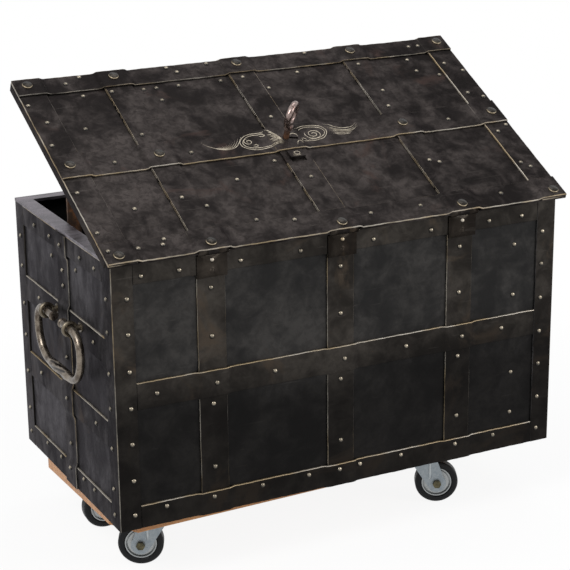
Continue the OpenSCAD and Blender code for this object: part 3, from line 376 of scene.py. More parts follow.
def key_finish(name):
    """A key's iron: rusty and dark at the lid, polished rose grey where a hand holds it."""
    f = Finish(name)
    normal = (LID @ Vector((0, 0, 1, 0))).to_tuple()[:3]
    place_above = f.node("ShaderNodeVectorMath", {"operation": "SUBTRACT"},
        {0: f.stretched(1, 1, 1), 1: (LID @ Vector((0, 0, 0, 1))).to_tuple()[:3]})
    height = f.node("ShaderNodeVectorMath", {"operation": "DOT_PRODUCT"},
        {0: place_above, 1: normal}, "Value")
    held = f.step(height * 1000, *HELD_FROM_MM)
    mottle = f.noise(130, 5, 0.65, (1, 1, 1), 0.6)
    rusty = f.mix(f.step(mottle, 0.38, 0.64), (0.022, 0.012, 0.008), (0.115, 0.052, 0.026))
    polished = f.mix(f.step(mottle, 0.32, 0.66), (0.115, 0.072, 0.062), (0.37, 0.295, 0.27))
    f.set(Base_Color=f.mix(held, rusty, polished), Metallic=0.35 + held * 0.55)
    f.set(Roughness=0.58 - held * 0.34 + (mottle - 0.5) * 0.12)
    f.bump(f.noise(260, 3, 0.6), 0.35, 0.5 * MM)
    return f.material


def rusted(name):
    """Brown iron: orange and dark rust in small clouds, rough all over."""
    f = Finish(name)
    clouds = f.noise(55, 6, 0.65, (1, 1, 1), 0.5)
    colour = f.mix(f.step(clouds, 0.38, 0.66), (0.045, 0.026, 0.016), (0.20, 0.085, 0.035))
    f.set(Base_Color=colour, Metallic=0.25, Roughness=0.55 + clouds * 0.3)
    f.bump(f.noise(300, 4, 0.65), 0.6, 0.6 * MM)
    return f.material


def plated(name, tint, pale, rough):
    """Plated steel: flat crystals that differ a little in grey and in gloss."""
    f = Finish(name)
    crystals = f.node("ShaderNodeTexVoronoi", {"feature": "F1"},
        {"Vector": f.stretched(1, 1, 1), "Scale": 260.0}, "Color")
    grey = f.node("ShaderNodeSeparateColor", None, {"Color": crystals})
    haze = f.noise(30, 4, 0.6)
    rub_and_light = f.rub_and_light()
    # Painted highlight: where rub_and_light is 1, on the crest of a fork's rib, the colour turns
    # paler.
    colour = f.mix(grey * 0.25 + haze * 0.35 + rub_and_light * 0.5, tint, pale)
    f.set(Base_Color=colour, Metallic=0.85, Roughness=rough + grey * 0.10 + haze * 0.12)
    f.bump(f.noise(180, 3, 0.5), 0.15, 0.4 * MM)
    return f.material


# Rivets: painted highlight on the upper side, painted shade at the foot. Large heads: the golden
# foot colour is a painted crescent highlight.
rivet_iron = head_with_painted_light("rivet iron with painted highlight", (0.34, 0.295, 0.225), (0.010, 0.0085, 0.0075))
large_head_iron = head_with_painted_light("large head iron with painted crescent", (0.030, 0.026, 0.022), (0.30, 0.245, 0.165))
rim_iron = bare_iron("bare rim iron", (0.215, 0.195, 0.218), (0.088, 0.080, 0.092), 0.42,
    (0.3, 1, 1))
bolt_iron = bare_iron("bright bolt iron", (0.50, 0.48, 0.46), (0.28, 0.26, 0.25), 0.30,
    (0.3, 0.3, 1))
key_iron = key_finish("polished and rusty key iron")
handle_iron = bare_iron("handled iron", (0.24, 0.205, 0.165), (0.075, 0.058, 0.045), 0.22,
    wear_and_light=True)
eye_iron = bare_iron("eye iron", (0.20, 0.17, 0.125), (0.055, 0.044, 0.033), 0.30)
leaf_iron = blackened("brown leaf iron", (0.018, 0.0148, 0.0120), (0.046, 0.0385, 0.0315),
    (0.056, 0.040, 0.027), 0.6, 0.42)
line_iron = bare_iron("engraved bright line", (0.46, 0.41, 0.33), (0.20, 0.172, 0.132), 0.40)
stay_iron = rusted("rusted stay iron")
zinc = plated("plated caster steel", (0.17, 0.20, 0.225), (0.42, 0.45, 0.46), 0.34)
bright_zinc = plated("turned wheel steel", (0.27, 0.285, 0.29), (0.50, 0.51, 0.50), 0.30)
nut_steel = bare_iron("oiled nut steel", (0.12, 0.105, 0.06), (0.03, 0.03, 0.022), 0.36)

# %% [markdown]
# ## Rubber and plywood
#
# The tyres are smooth black rubber, a little dusty. The board is varnished birch plywood:
# its faces show long grain, and its edges show the plies as thin dark and pale lines, which
# follow the height and nothing else.

# %% Rubber and plywood
def rubber_finish(name):
    """Black rubber with a thin even dust."""
    f = Finish(name)
    dust = f.step(f.noise(70, 5, 0.6), 0.45, 0.75)
    f.set(Base_Color=f.mix(dust * 0.4, (0.0035, 0.004, 0.0048), (0.014, 0.015, 0.0165)))
    f.set(Roughness=0.42 + dust * 0.25, Specular_IOR_Level=0.2)
    f.bump(f.noise(500, 3, 0.6), 0.25, 0.3 * MM)
    return f.material


PLY_PAIR = 3.6 * MM


def plywood_finish(name):
    """Varnished plywood: stretched grain, and plies as a wave along the height."""
    f = Finish(name)
    grain = f.noise(30, 6, 0.65, (0.4, 5, 1), 0.8)
    colour = f.mix(f.step(grain, 0.35, 0.68), (0.50, 0.225, 0.062), (0.34, 0.135, 0.032))
    waves_up = f.height() * (2 * math.pi / PLY_PAIR)
    plies = f.node("ShaderNodeMath", {"operation": "SINE"}, {0: waves_up})
    colour = f.mix(f.step(plies, -0.1, 0.5) * 0.35, colour, (0.22, 0.085, 0.026))
    f.set(Base_Color=colour, Roughness=0.38 + grain * 0.2, Coat_Weight=0.25)
    f.bump(grain, 0.25, 0.5 * MM)
    return f.material


tyre_rubber = rubber_finish("tyre rubber")
board_ply = plywood_finish("varnished plywood")

# %% Dress the plain nodes
DRESS = {
    wall_iron: ["back_sheet", "front_sheet", "floor_sheet"],
    lit_end_iron: ["left_end_sheet", "right_end_sheet"],
    strap_iron: ["false_keyhole_plate", "lid_lip", "stay_peg"],
    leaf_iron: ["hinge_pins"],
    lid_iron: ["lid_sheet", "lid_cross_straps", "keyhole_cover"],
    inner_iron: ["lock_plate", "bolt_guides", "stay_bracket", "lock_cam"],
    eye_iron: ["handle_eyes", "stay_pin"],
    rim_iron: ["rim_frame"],
    bolt_iron: ["front_bolts", "back_bolts", "left_bolt", "right_bolt"],
    key_iron: ["key"],
    stay_iron: ["lid_stay"],
    zinc: ["caster_plates", "caster_screws"],
    board_ply: ["board"],
}
CASTERS = range(1, 5)
DRESS[zinc] += [f"caster_fork_{number}" for number in CASTERS]
DRESS[bright_zinc] = [f"wheel_hub_{number}" for number in CASTERS]
DRESS[nut_steel] = [f"axle_{number}" for number in CASTERS]
DRESS[tyre_rubber] = [f"tyre_{number}" for number in CASTERS]


def dress(node, material):
    """Gives a node of the frame a finish, in every material slot that it has."""
    piece = frame["nodes"][node]
    if not piece.material_slots:
        piece.data.materials.append(material)
    for part in piece.material_slots:
        part.material = material


for material, names in DRESS.items():
    for name in names:
        dress(name, material)
print("dressed", sum(len(names) for names in DRESS.values()), "nodes")

# %% [markdown]
# ## How a forged band is made
#
# A band is a flat bar beaten over whatever lies under it. Its edge is rounded and never
# straight, its face is a little crowned, and where it crosses another band it climbs over it
# in a soft step. So a band is a section across, carried along a line: a grid of points, with
# one row for each station along the band and one column for each point of the section.
#
# Light from above falls on the upper edge of a band, and its lower edge has shade under it;
# hands rub the edges too. The `rub_and_light` attribute paints this: it is 1 on a bright edge,
# where wear and a painted highlight meet, 0 on the flat, and below 0 where the foot of an edge
# is painted black as shade. Each band is told how bright its two edges are.

# %% Section of a band
EDGE_IN = np.array([0.0, 0.0, 0.12, 0.40, 0.9, 1.7, 3.2, 6.0]) * MM
EDGE_DOWN = np.array([3.0, 0.9, 0.45, 0.13, 0.0, 0.0, 0.0, 0.0]) * MM
# Below 0 at an edge's foot: painted shade. Above 0 on its rounding: wear and painted highlight.
EDGE_RUB_AND_LIGHT = np.array([-1.0, -0.3, 1.0, 1.0, 0.75, 0.05, 0.0, 0.0])
FOOT_RISE = 1.7


def edge_rub_and_light(bright):
    """The rub_and_light of one edge: the painted shade at its foot fades as the edge gets brighter,
    and its rounding keeps a share of the brightness as wear and painted highlight.
    """
    return np.where(EDGE_RUB_AND_LIGHT < 0, EDGE_RUB_AND_LIGHT + FOOT_RISE * bright, EDGE_RUB_AND_LIGHT * bright)


def band_section(width, edges):
    """Across, height and rub_and_light of a section: both rounded edges, and three points between
    them.
    """
    across = np.concatenate(
        [-width / 2 + EDGE_IN, [-width / 6, 0, width / 6], width / 2 - EDGE_IN[::-1]])
    down = np.concatenate([EDGE_DOWN, [0, 0, 0], EDGE_DOWN[::-1]])
    rub_and_light = np.concatenate([edge_rub_and_light(edges[0]), [0, 0, 0], edge_rub_and_light(edges[1])[::-1]])
    return across, STRAP_T - down, rub_and_light


def waves(at, seed, lengths, size):
    """A sum of sines with the given wave lengths and random phases, about as large as size."""
    phases = np.random.default_rng(seed).uniform(0, 2 * math.pi, len(lengths))
    total = sum(np.sin(2 * math.pi * at / step + phase) for step, phase in zip(lengths, phases))
    return size * total / len(lengths)


def lap_height(at, laps, slope=LAP_SLOPE):
    """Smooth step up to LAP_RISE over every lap [from, to], and down again after it."""
    height = np.zeros_like(at)
    for low, high in laps:
        ramp = np.clip(np.minimum(at - low + slope, high + slope - at) / slope, 0, 1)
        height = np.maximum(height, LAP_RISE * ramp * ramp * (3 - 2 * ramp))
    return height


def grid_faces(rows, columns):
    """Quads between neighbouring rows of a grid whose columns close into a ring, and two ends."""
    index = np.arange(rows * columns).reshape(rows, columns)
    after = np.roll(index, -1, axis=1)
    quads = np.stack([index[:-1], after[:-1], after[1:], index[1:]], axis=-1).reshape(-1, 4)
    return quads.tolist() + [index[0, ::-1].tolist(), index[-1].tolist()]


# %% One forged band
WANDER = 0.45
STATION = 4 * MM
FIRST_STATION = 3 * MM
END_STATIONS = np.array([0.0, 0.35, 0.9, 1.8]) * MM
END_DROP = np.array([0.7, 0.2, 0.0, 0.0]) * MM
END_RUB = 0.35
WANDER_WAVES = np.array([190, 83, 41, 17]) * MM
DENT = 0.22 * MM


def forged_band(low, high, middle, width, edges, laps, seed, wander=WANDER, lap_rub=0.0):
    """A band along X of a flat layout: section points times stations, raised at every lap.

    Its edges wander by wander, in millimetres, and its face is dented by a sum of sines.
    Where it climbs, its rub_and_light is lap_rub * 4 * share * (1 - share), with the share climbed.
    """
    stations = max(4, int((high - low) / STATION))
    inner = np.linspace(low + FIRST_STATION, high - FIRST_STATION, stations)
    at = np.concatenate([low + END_STATIONS, inner, (high - END_STATIONS)[::-1]])
    drop = np.concatenate([END_DROP, 0 * inner, END_DROP[::-1]])
    across, height, rub_and_light = band_section(width, edges)
    side = 2 * across / width
    near = waves(at, seed, WANDER_WAVES, wander * MM)[:, None] * np.clip(-side, 0, 1)
    far = waves(at, seed + 50, WANDER_WAVES, wander * MM)[:, None] * np.clip(side, 0, 1)
    dents = waves(at, seed + 90, WANDER_WAVES[1:], DENT)[:, None]
    dents = dents * np.cos(math.pi * across / width)
    top = height > 0
    climbed = lap_height(at, laps)
    raised = height + np.where(top, dents - drop[:, None], 0) + climbed[:, None]
    along = np.repeat(at[:, None], len(across), axis=1)
    points = np.stack([along, middle + across + near + far, raised], axis=-1)
    share = climbed / LAP_RISE
    climb = 4 * lap_rub * share * (1 - share) if lap_rub else np.full(len(at), rub_and_light.min())
    steps = np.where(drop > 0, END_RUB, climb)[:, None]
    wear_and_light = np.where(top, np.maximum(rub_and_light[None], steps), rub_and_light[None])
    return points.reshape(-1, 3), grid_faces(len(at), len(across)), wear_and_light.ravel()


def turned(part):
    """The same part with its X and Y changed over, for a band that stands upright."""
    points, faces, rub_and_light = part
    return points[:, [1, 0, 2]], [face[::-1] for face in faces], rub_and_light


def in_place(part, matrix):
    """A part moved from its layout to its place on the chest."""
    points, faces, rub_and_light = part
    m = np.array(matrix)
    return points @ m[:3, :3].T + m[:3, 3], faces, rub_and_light


def all_in_place(parts, matrix):
    """The same for a list of parts."""
    return [in_place(part, matrix) for part in parts]


# %% Work on a mesh
BAND_SHARP, HEAD_SHARP = math.radians(50), math.radians(60)


def face_outwards(mesh, merge=0):
    """Merges the points that lie closer than merge, and turns every face outwards."""
    edit = bmesh.new()
    edit.from_mesh(mesh)
    if merge:
        bmesh.ops.remove_doubles(edit, verts=edit.verts, dist=merge)
    bmesh.ops.recalc_face_normals(edit, faces=edit.faces)
    edit.to_mesh(mesh)
    edit.free()


def shade_smooth(mesh, sharp):
    """Smooth shading, but for edges that bend by more than an angle."""
    mesh.polygons.foreach_set("use_smooth", np.ones(len(mesh.polygons), bool))
    mesh.set_sharp_from_angle(angle=sharp)


def write_rub_and_light(mesh, values):
    """Stores how worn each point is, as the attribute that the materials read."""
    rub_and_light = mesh.attributes.new("rub_and_light", "FLOAT", "POINT")
    rub_and_light.data.foreach_set("value", values.astype(np.float32))


# %% Parts into pieces
def make_piece(name, parts, body, material, stands_for=()):
    """Joins parts into one mesh with its rub_and_light attribute, faces outwards, and lets it ride.
    """
    starts = np.cumsum([0] + [len(part[0]) for part in parts[:-1]])
    points = np.concatenate([part[0] for part in parts])
    faces = [[int(i + start) for i in face]
        for part, start in zip(parts, starts) for face in part[1]]
    mesh = bpy.data.meshes.new(name)
    mesh.from_pydata(points.tolist(), [], faces)
    write_rub_and_light(mesh, np.concatenate([part[2] for part in parts]))
    face_outwards(mesh)
    shade_smooth(mesh, BAND_SHARP)
    mesh.materials.append(material)
    piece = add_object(name, mesh)
    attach(piece, body)
    if stands_for:
        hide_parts(*stands_for)
    print(name, len(mesh.vertices), "points")
    return piece


# %% [markdown]
# ## Bands on the long walls
#
# Each long wall has three upright straps against the sheet and three bands over them: one
# at the top, one at the foot and one round the middle. The bands climb over the straps.

# %% Long walls
TOP_BAND_W = 33 * MM
FOOT_BAND_W = 38 * MM
MID_BAND_W = 44 * MM
MID_BAND_Z = 220 * MM
WALL_REACH = HALF_L - CORNER_W - GAP
LONG_BANDS = [(WALL_H - TOP_BAND_W / 2, TOP_BAND_W), (MID_BAND_Z, MID_BAND_W),
    (FOOT_BAND_W / 2, FOOT_BAND_W)]
LONG_BAND_WANDER = 0.55
# Edge brightness, near then far: a level band's upper edge is painted bright as a highlight from
# above and its lower edge gets painted shade at its foot; an upright strap has a fainter painted
# line on both sides.
UPPER_BRIGHT = (0.12, 1.0)
SIDES_FAINT = (0.64, 0.58)


def laps_over(bands):
    """Where a band is raised: over each middle and width that lies under it, and a gap more."""
    return [(middle - width / 2 - GAP, middle + width / 2 + GAP) for middle, width in bands]


def upright_straps(wall, seed, places, width, edges, laps=()):
    """Straps that stand on a wall, as high as it is, one at each place along it."""
    straps = [forged_band(0, WALL_H, x, width, edges, laps, seed + i)
        for i, x in enumerate(places)]
    return all_in_place([turned(strap) for strap in straps], wall)


def level_bands(wall, seed, reach, bands, laps=(), wander=WANDER):
    """Bands that lie level on a wall, one at each height with its width, bright above."""
    parts = [forged_band(-reach, reach, z, width, UPPER_BRIGHT, laps, seed + i, wander)
        for i, (z, width) in enumerate(bands)]
    return all_in_place(parts, wall)


STRAP_LAPS = laps_over([(x, STRAP_W) for x in STRAP_XS])
straps = [upright_straps(wall, seed, STRAP_XS, STRAP_W, SIDES_FAINT)
    for wall, seed in ((BACK, 10), (FRONT, 20))]
make_piece("forged_upright_straps", straps[0] + straps[1],
    "chest", strap_iron, ["upright_straps"])
for node, wall, seed in (("back_bands", BACK, 30), ("front_bands", FRONT, 40)):
    bands = level_bands(wall, seed, WALL_REACH, LONG_BANDS, STRAP_LAPS, LONG_BAND_WANDER)
    make_piece("forged_" + node, bands, "chest", strap_iron, [node])

# %% [markdown]
# ## Bands on the ends
#
# On an end it is the other way round: four bands lie against the sheet, and one upright
# strap is beaten over all of them.

# %% Ends
END_STRAP_W = 46 * MM
END_STRAP_Y = -6 * MM
END_BAND_W = 44 * MM
END_BAND_ZS = [153 * MM, 289 * MM]
END_BANDS = [(FOOT_BAND_W / 2, FOOT_BAND_W), *((z, END_BAND_W) for z in END_BAND_ZS),
    (WALL_H - TOP_BAND_W / 2, TOP_BAND_W)]
END_REACH = HALF_D - CORNER_W - GAP
END_STRAP_EDGES = (0.6, 0.6)
END_LAPS = laps_over(END_BANDS)
bands = [level_bands(wall, seed, END_REACH, END_BANDS)
    for wall, seed in ((LEFT_END, 50), (RIGHT_END, 60))]
straps = [upright_straps(wall, seed, [END_STRAP_Y], END_STRAP_W, END_STRAP_EDGES, END_LAPS)
    for wall, seed in ((LEFT_END, 70), (RIGHT_END, 80))]
make_piece("forged_end_bands", bands[0] + bands[1],
    "chest", lit_end_strap_iron, ["end_bands"])
make_piece("forged_end_straps", straps[0] + straps[1],
    "chest", lit_end_strap_iron, ["end_straps"])

# %% [markdown]
# ## Corner straps
#
# A corner strap is one band folded lengthwise round the corner. Its section is an L: two
# rounded edges like a flat band's, and a rounded fold between them, which wears as bright as
# an edge does. The leg on the end takes the end's strap iron, painted lighter and greyer for
# the light that falls on the ends: each face takes the finish of the side that it looks to.

# %% Corner straps
FOLD_R = 2.2 * MM
FOLD_RUB = [0.0, 0.55, 0.7, 0.55, 0.0]
LEG_EDGE = 0.3
CORNER_WAVES = np.array([170, 71, 33]) * MM
CORNER_WANDER = 0.45 * MM


def corner_strap(side_x, side_y, seed):
    """An L section, edge to fold to edge and back inside, carried up the corner."""
    leg = CORNER_W
    bend = np.linspace(0, math.pi / 2, len(FOLD_RUB))
    first = np.stack([leg - EDGE_IN, EDGE_DOWN], axis=-1)
    fold = np.stack([FOLD_R - FOLD_R * np.sin(bend), FOLD_R - FOLD_R * np.cos(bend)], axis=-1)
    inside = np.array([[STRAP_T, STRAP_T]])
    section = np.concatenate([first, fold, first[::-1, ::-1], inside])
    edge = edge_rub_and_light(LEG_EDGE)
    rub_and_light = np.concatenate([edge, FOLD_RUB, edge[::-1], [0]])
    inner = np.linspace(FIRST_STATION, WALL_H - FIRST_STATION, int(WALL_H / STATION))
    at = np.concatenate([END_STATIONS, inner, (WALL_H - END_STATIONS)[::-1]])
    reach = np.clip(section - FOLD_R, 0, leg)[None] / leg
    wander = waves(at, seed, CORNER_WAVES, CORNER_WANDER)[:, None, None] * reach
    flat = section[None] + wander * (section[None] > STRAP_T)
    x = side_x * (HALF_L - flat[..., 0])
    y = side_y * (HALF_D - flat[..., 1])
    z = np.repeat(at[:, None], len(section), axis=1)
    points = np.stack([x, y, z], axis=-1).reshape(-1, 3)
    wear_and_light = np.repeat(rub_and_light[None], len(at), axis=0).ravel()
    return in_place((points, grid_faces(len(at), len(section)), wear_and_light), CHEST)


corners = [corner_strap(x, y, 5 * x + 3 * y + 100) for x in (-1, 1) for y in (-1, 1)]
corner_piece = make_piece("forged_corner_straps", corners, "chest", strap_iron,
    ["corner_straps"])

# %% The corner's two finishes
MOSTLY = 0.75
# Faces that look to an end take the end's copy, painted lighter for the light on the ends.
corner_piece.data.materials.append(lit_end_strap_iron)
normals = np.empty(3 * len(corner_piece.data.polygons), np.float32)
corner_piece.data.polygons.foreach_get("normal", normals)
on_the_end = np.abs(normals.reshape(-1, 3)[:, 0]) > MOSTLY
corner_piece.data.polygons.foreach_set("material_index", on_the_end.astype(np.int32))
print(on_the_end.sum(), "corner faces look to an end")

# %% [markdown]
# ## Bands on the lid
#
# The lid's layout has X along the chest and Y from the hinge pin to the front edge. Two end
# bands and three cross straps lie on the sheet, and three long bands are beaten over them.
# Each cross strap ends in the middle knuckle of its hinge, so the cross straps stay plain
# nodes here, and the next step gives them skins.

# %% Lid sizes
END_BAND_LID_W = 47 * MM
BACK_BAND_LID_W = 47 * MM
MID_BAND_LID_W = 57 * MM
FRONT_BAND_LID_W = 41 * MM
BARREL_L = 51 * MM
END_LAP_X = LID_X - END_BAND_LID_W - GAP
LEFT_LAP, RIGHT_LAP = [(-LID_X - 1, -END_LAP_X)], [(END_LAP_X, LID_X + 1)]
BARREL_LAPS = laps_over([(x, BARREL_L) for x in STRAP_XS])
LID_BANDS = [
    (LID_BACK + BACK_BAND_LID_W / 2 + GAP, BACK_BAND_LID_W, BARREL_LAPS),
    (LID_MIDDLE, MID_BAND_LID_W, STRAP_LAPS),
    (LID_FRONT - FRONT_BAND_LID_W / 2, FRONT_BAND_LID_W, STRAP_LAPS),
]

# %% Lid bands
# Lid band edges that face the light get a painted highlight, and dimmer ones painted shade at their
# foot; near edge first.
LONG_EDGES = [(0.74, 0.58), (0.76, 0.52), (0.62, 0.9)]
LID_WANDER, LID_LAP_RUB = 0.7, 0.5
long_bands = [
    forged_band(-LID_X, LID_X, middle, width, edges, LEFT_LAP + laps + RIGHT_LAP, 110 + i,
        LID_WANDER, LID_LAP_RUB)
    for i, ((middle, width, laps), edges) in enumerate(zip(LID_BANDS, LONG_EDGES))
]
lid_long = make_piece("forged_lid_long_bands", all_in_place(long_bands, LID),
    "lid", lid_iron, ["lid_long_bands"])
end_x = LID_X - END_BAND_LID_W / 2
END_EDGES = {-1: (0.78, 0.6), 1: (1.0, 0.7)}
end_bands = [
    turned(forged_band(LID_BACK, LID_FRONT, side * end_x, END_BAND_LID_W, edges, (), 120 + side))
    for side, edges in END_EDGES.items()
]
make_piece("forged_lid_end_bands", all_in_place(end_bands, LID),
    "lid", lid_iron, ["lid_end_bands"])

# %% [markdown]
# ## Skins for the lid's cross straps
#
# The plain cross straps keep their knuckles and the slot of the keyhole cover, so they stay.
# Each gets a thin forged skin over its flat lengths, a twentieth of a millimetre larger, with
# its left edge painted bright as a highlight. The middle strap is open where the cover slides, so
# it has two skins.

# %% Cross strap skins
SKIN = 0.05 * MM
SKIN_WANDER = 0.12
# Each cross strap's left edge gets the brightest painted highlight.
CROSS_EDGES = [(1.0, 0.5), (1.0, 1.0), (1.0, 0.45)]
SKIN_FROM = BACK_BAND_LID_W - 10 * MM
SKIN_TO = LID_FRONT - SKIN
COVER_FROM = 164.5 * MM
COVER_TO = 237 * MM


def strap_skin(low, high, x, edges, seed):
    """A forged band over a plain strap, raised by the skin's thickness."""
    width = STRAP_W + 2 * SKIN
    points, faces, rub_and_light = forged_band(low, high, x, width, edges, (), seed, SKIN_WANDER)
    return turned((points + [0, 0, SKIN], faces, rub_and_light))


skins = [strap_skin(SKIN_FROM, SKIN_TO, x, edges, 130 + i)
    for i, (x, edges) in enumerate(zip(STRAP_XS, CROSS_EDGES)) if i != 1]
skins.append(strap_skin(SKIN_FROM, COVER_FROM, STRAP_XS[1], CROSS_EDGES[1], 140))
skins.append(strap_skin(COVER_TO, SKIN_TO, STRAP_XS[1], CROSS_EDGES[1], 141))
make_piece("cross_strap_skins", all_in_place(skins, LID), "lid", lid_iron)

# %% [markdown]
# ## The keyhole
#
# The key stands in a round hole with a slot beside it for its bit. The new middle band needs
# the same hole. It is cut with a boolean: a solid of the hole's outline is taken out of the
# band, and the result is kept as the mesh.

# %% Cut the keyhole
KEY_X = -10 * MM
HOLE_R = 5.6 * MM
SLOT_L = 21 * MM
SLOT_HALF = 2.3 * MM
SLOT_TURN = math.radians(-15)
CUT_FROM, CUT_TO = 0.5 * MM, 12 * MM


def keyhole_outline():
    """A circle whose points near the slot are drawn out to the slot's two far corners."""
    slot_angle = math.asin(SLOT_HALF / HOLE_R)
    angles = np.linspace(slot_angle, 2 * math.pi - slot_angle, 29)
    ring = HOLE_R * np.stack([np.cos(angles), np.sin(angles)], axis=-1)
    outline = np.concatenate([ring, [[SLOT_L, -SLOT_HALF], [SLOT_L, SLOT_HALF]]])
    c, s = math.cos(SLOT_TURN), math.sin(SLOT_TURN)
    return outline @ np.array([[c, s], [-s, c]]) + [KEY_X, LID_MIDDLE]


def prism(outline, low, high):
    """A closed solid between two copies of an outline."""
    count = len(outline)
    levels = [np.column_stack([outline, np.full(count, z)]) for z in (low, high)]
    return np.concatenate(levels), grid_faces(2, count), np.zeros(2 * count)


def cut_away(piece, part, name):
    """Takes a solid out of a piece and keeps what is left as its mesh."""
    points, faces, _ = part
    mesh = bpy.data.meshes.new(name)
    mesh.from_pydata(points.tolist(), [], faces)
    face_outwards(mesh)
    knife = add_object(name, mesh)
    modifier = piece.modifiers.new(name, "BOOLEAN")
    modifier.object = knife
    modifier.solver = "EXACT"
    whole = piece.evaluated_get(bpy.context.evaluated_depsgraph_get())
    left = bpy.data.meshes.new_from_object(whole)
    piece.modifiers.clear()
    piece.data = left
    bpy.data.objects.remove(knife)
    print(piece.name, "has", len(left.vertices), "points after the cut")


cut_away(lid_long, in_place(prism(keyhole_outline(), CUT_FROM, CUT_TO), LID), "keyhole cutter")

# %% [markdown]
# ## Scrollwork round the keyhole
#
# The middle band is chased with scrolls on both sides of the key: a large oval scroll with a
# second line close inside it, a small spiral, a plume that runs out along the band, and short
# leaf strokes at the keyhole. Each line is drawn on the flat layout, as pairs of
# distances in millimetres from the key. A curve runs through those points and becomes a low
# ridge that follows the band's surface. A chisel leaves a line that starts and ends thin, so
# the strokes of the plumes taper over many stations.

# %% Curves on the band
LINE_RISE = 0.5 * MM
LINE_SINK = 0.6 * MM
PROFILE = [(-0.5, -LINE_SINK), (-0.28, LINE_RISE), (0.28, LINE_RISE), (0.5, -LINE_SINK)]


def bent(*handles, count=40):
    """A cubic Bezier curve: four points weighted by (1-t)^3, 3t(1-t)^2, 3t^2(1-t) and t^3."""
    t = np.linspace(0, 1, count)[:, None]
    r = 1 - t
    p = np.array(handles, float)
    return r ** 3 * p[0] + 3 * t * r ** 2 * p[1] + 3 * t * t * r * p[2] + t ** 3 * p[3]


def through(*stops, count=70):
    """A Catmull-Rom curve: at each stop it runs the way from the stop before to the one after."""
    p = np.array(stops, float)
    p = np.vstack([2 * p[0] - p[1], p, 2 * p[-1] - p[-2]])
    t = np.linspace(0, len(stops) - 1, count)
    i = np.minimum(t.astype(int), len(stops) - 2)
    u = (t - i)[:, None]
    a, b, c, d = p[i], p[i + 1], p[i + 2], p[i + 3]
    return b + 0.5 * u * (c - a + u * (2 * a - 5 * b + 4 * c - d + u * (3 * (b - c) + d - a)))


def spiral(centre, reach, close, turns, start, count=110):
    """An oval spiral: the two half axes shrink evenly from reach to close over the turns."""
    t = np.linspace(0, 1, count)
    angle = start + turns * 2 * math.pi * t
    half = np.array(reach)[None] + (np.array(close) - np.array(reach))[None] * t[:, None]
    return np.array(centre) + half * np.stack([np.cos(angle), np.sin(angle)], axis=-1)


def ridge(line, width, taper=6, base=None):
    """A low ridge along a line: four points across each station, thinner at both ends.

    It lies on the middle band, which climbs over the straps, or at the height of its base.
    """
    points = line * MM + [KEY_X, LID_MIDDLE]
    along = np.gradient(points, axis=0)
    along /= np.linalg.norm(along, axis=1)[:, None]
    aside = np.stack([-along[:, 1], along[:, 0]], axis=-1)
    station = np.arange(len(line))
    share = np.clip(np.minimum(station, station[::-1]) / taper, 0.15, 1)
    if base is None:
        floor_z = STRAP_T + lap_height(points[:, 0], STRAP_LAPS)
    else:
        floor_z = np.full(len(line), base)
    columns = []
    for across, rise in PROFILE:
        flat = points + aside * (across * width * share)[:, None]
        columns.append(np.column_stack([flat, floor_z + np.where(rise > 0, rise * share, rise)]))
    grid = np.stack(columns, axis=1)
    wear_and_light = np.ones(grid.shape[:2])
    return grid.reshape(-1, 3), grid_faces(len(line), len(PROFILE)), wear_and_light.ravel()


# %% The scrolls
def scroll_lines():
    """The large scrolls, each with its echo and small curls, and the leaf strokes at the key."""
    lines = [
        through((-26, 26), (-39, 22), (-56, 22), (-69, 18), (-79, 9), (-82, 0), (-78, -9),
            (-64, -17), (-48, -18), (-31, -15), (-14, -11), (-5, -9), count=110),
        through((-30, 22), (-42, 18), (-56, 18), (-67, 14), (-75, 6), (-77, -1), (-72, -9),
            (-61, -13), (-47, -14), (-31, -12), (-16, -9), (-8, -7), count=110),
        spiral((-66, 4), (9, 8), (1.5, 1.5), 1.5, 1.2, 60),
        spiral((-57, -7), (5, 4), (1.5, 1.5), 1.1, 3.0, 36),
        through((-44, 17), (-40, 13), (-35, 13), (-32, 15), (-36, 18), (-42, 18), count=30),
        through((23, 19), (39, 25), (56, 25), (72, 21), (79, 11), (77, 1), (67, -9), (51, -13),
            (34, -12), (24, -11), count=110),
        through((27, 15), (41, 21), (56, 21), (69, 17), (75, 9), (73, 1), (64, -6), (51, -9),
            (36, -8), count=100),
        spiral((53, 3), (16, 13), (2, 2), 2.1, 2.4),
        through((8, 4), (12, 7), (17, 7), (21, 3), (22, -1), count=24),
        through((25, -15), (27, -6), (31, -4), (35, -8), (35, -15), count=24),
        through((12, -22), (16, -14), (21, -12), (25, -20), count=24),
    ]
    for k in range(7):
        leaf_tip = (3 * (k % 2) - 28 - 0.5 * k, 26 - 6 * k)
        lines.append(bent(leaf_tip, (-20, 20 - 5 * k), (-14, 9 - 4 * k), (-8, -3 - 1.6 * k)))
    return lines


def plume_lines():
    """Fine strokes: nested inside the tail's bend on the left, side by side on the right."""
    tail = through((-145, 16), (-141, 8), (-131, 0), (-118, -7), (-104, -9), (-91, -4), (-82, 6),
        (-73, 20))
    grown = np.linspace(0, 1, len(tail))[:, None]
    inward = np.array([-3.7, 1.9]) * grown ** 0.8
    lines = [tail] + [(tail + k * inward)[16 + 2 * k:70 - 4 * k] for k in range(1, 8)]
    lines += [
        through((80, 25), (91, 21), (99, 14), (113, 9), (128, 10), (140, 18)),
        through((80, 20), (89, 14), (100, 8), (115, 4), (128, 6), (142, 15)),
        through((82, 14), (92, 9), (104, 4), (116, 2), (128, 3), (141, 11)),
        through((85, 8), (95, 4), (110, 0), (124, 0), (136, 7)),
        through((87, 4), (100, -2), (114, -4), (126, -2)),
        through((86, 1), (98, -5), (112, -7), (122, -5)),
    ]
    return lines


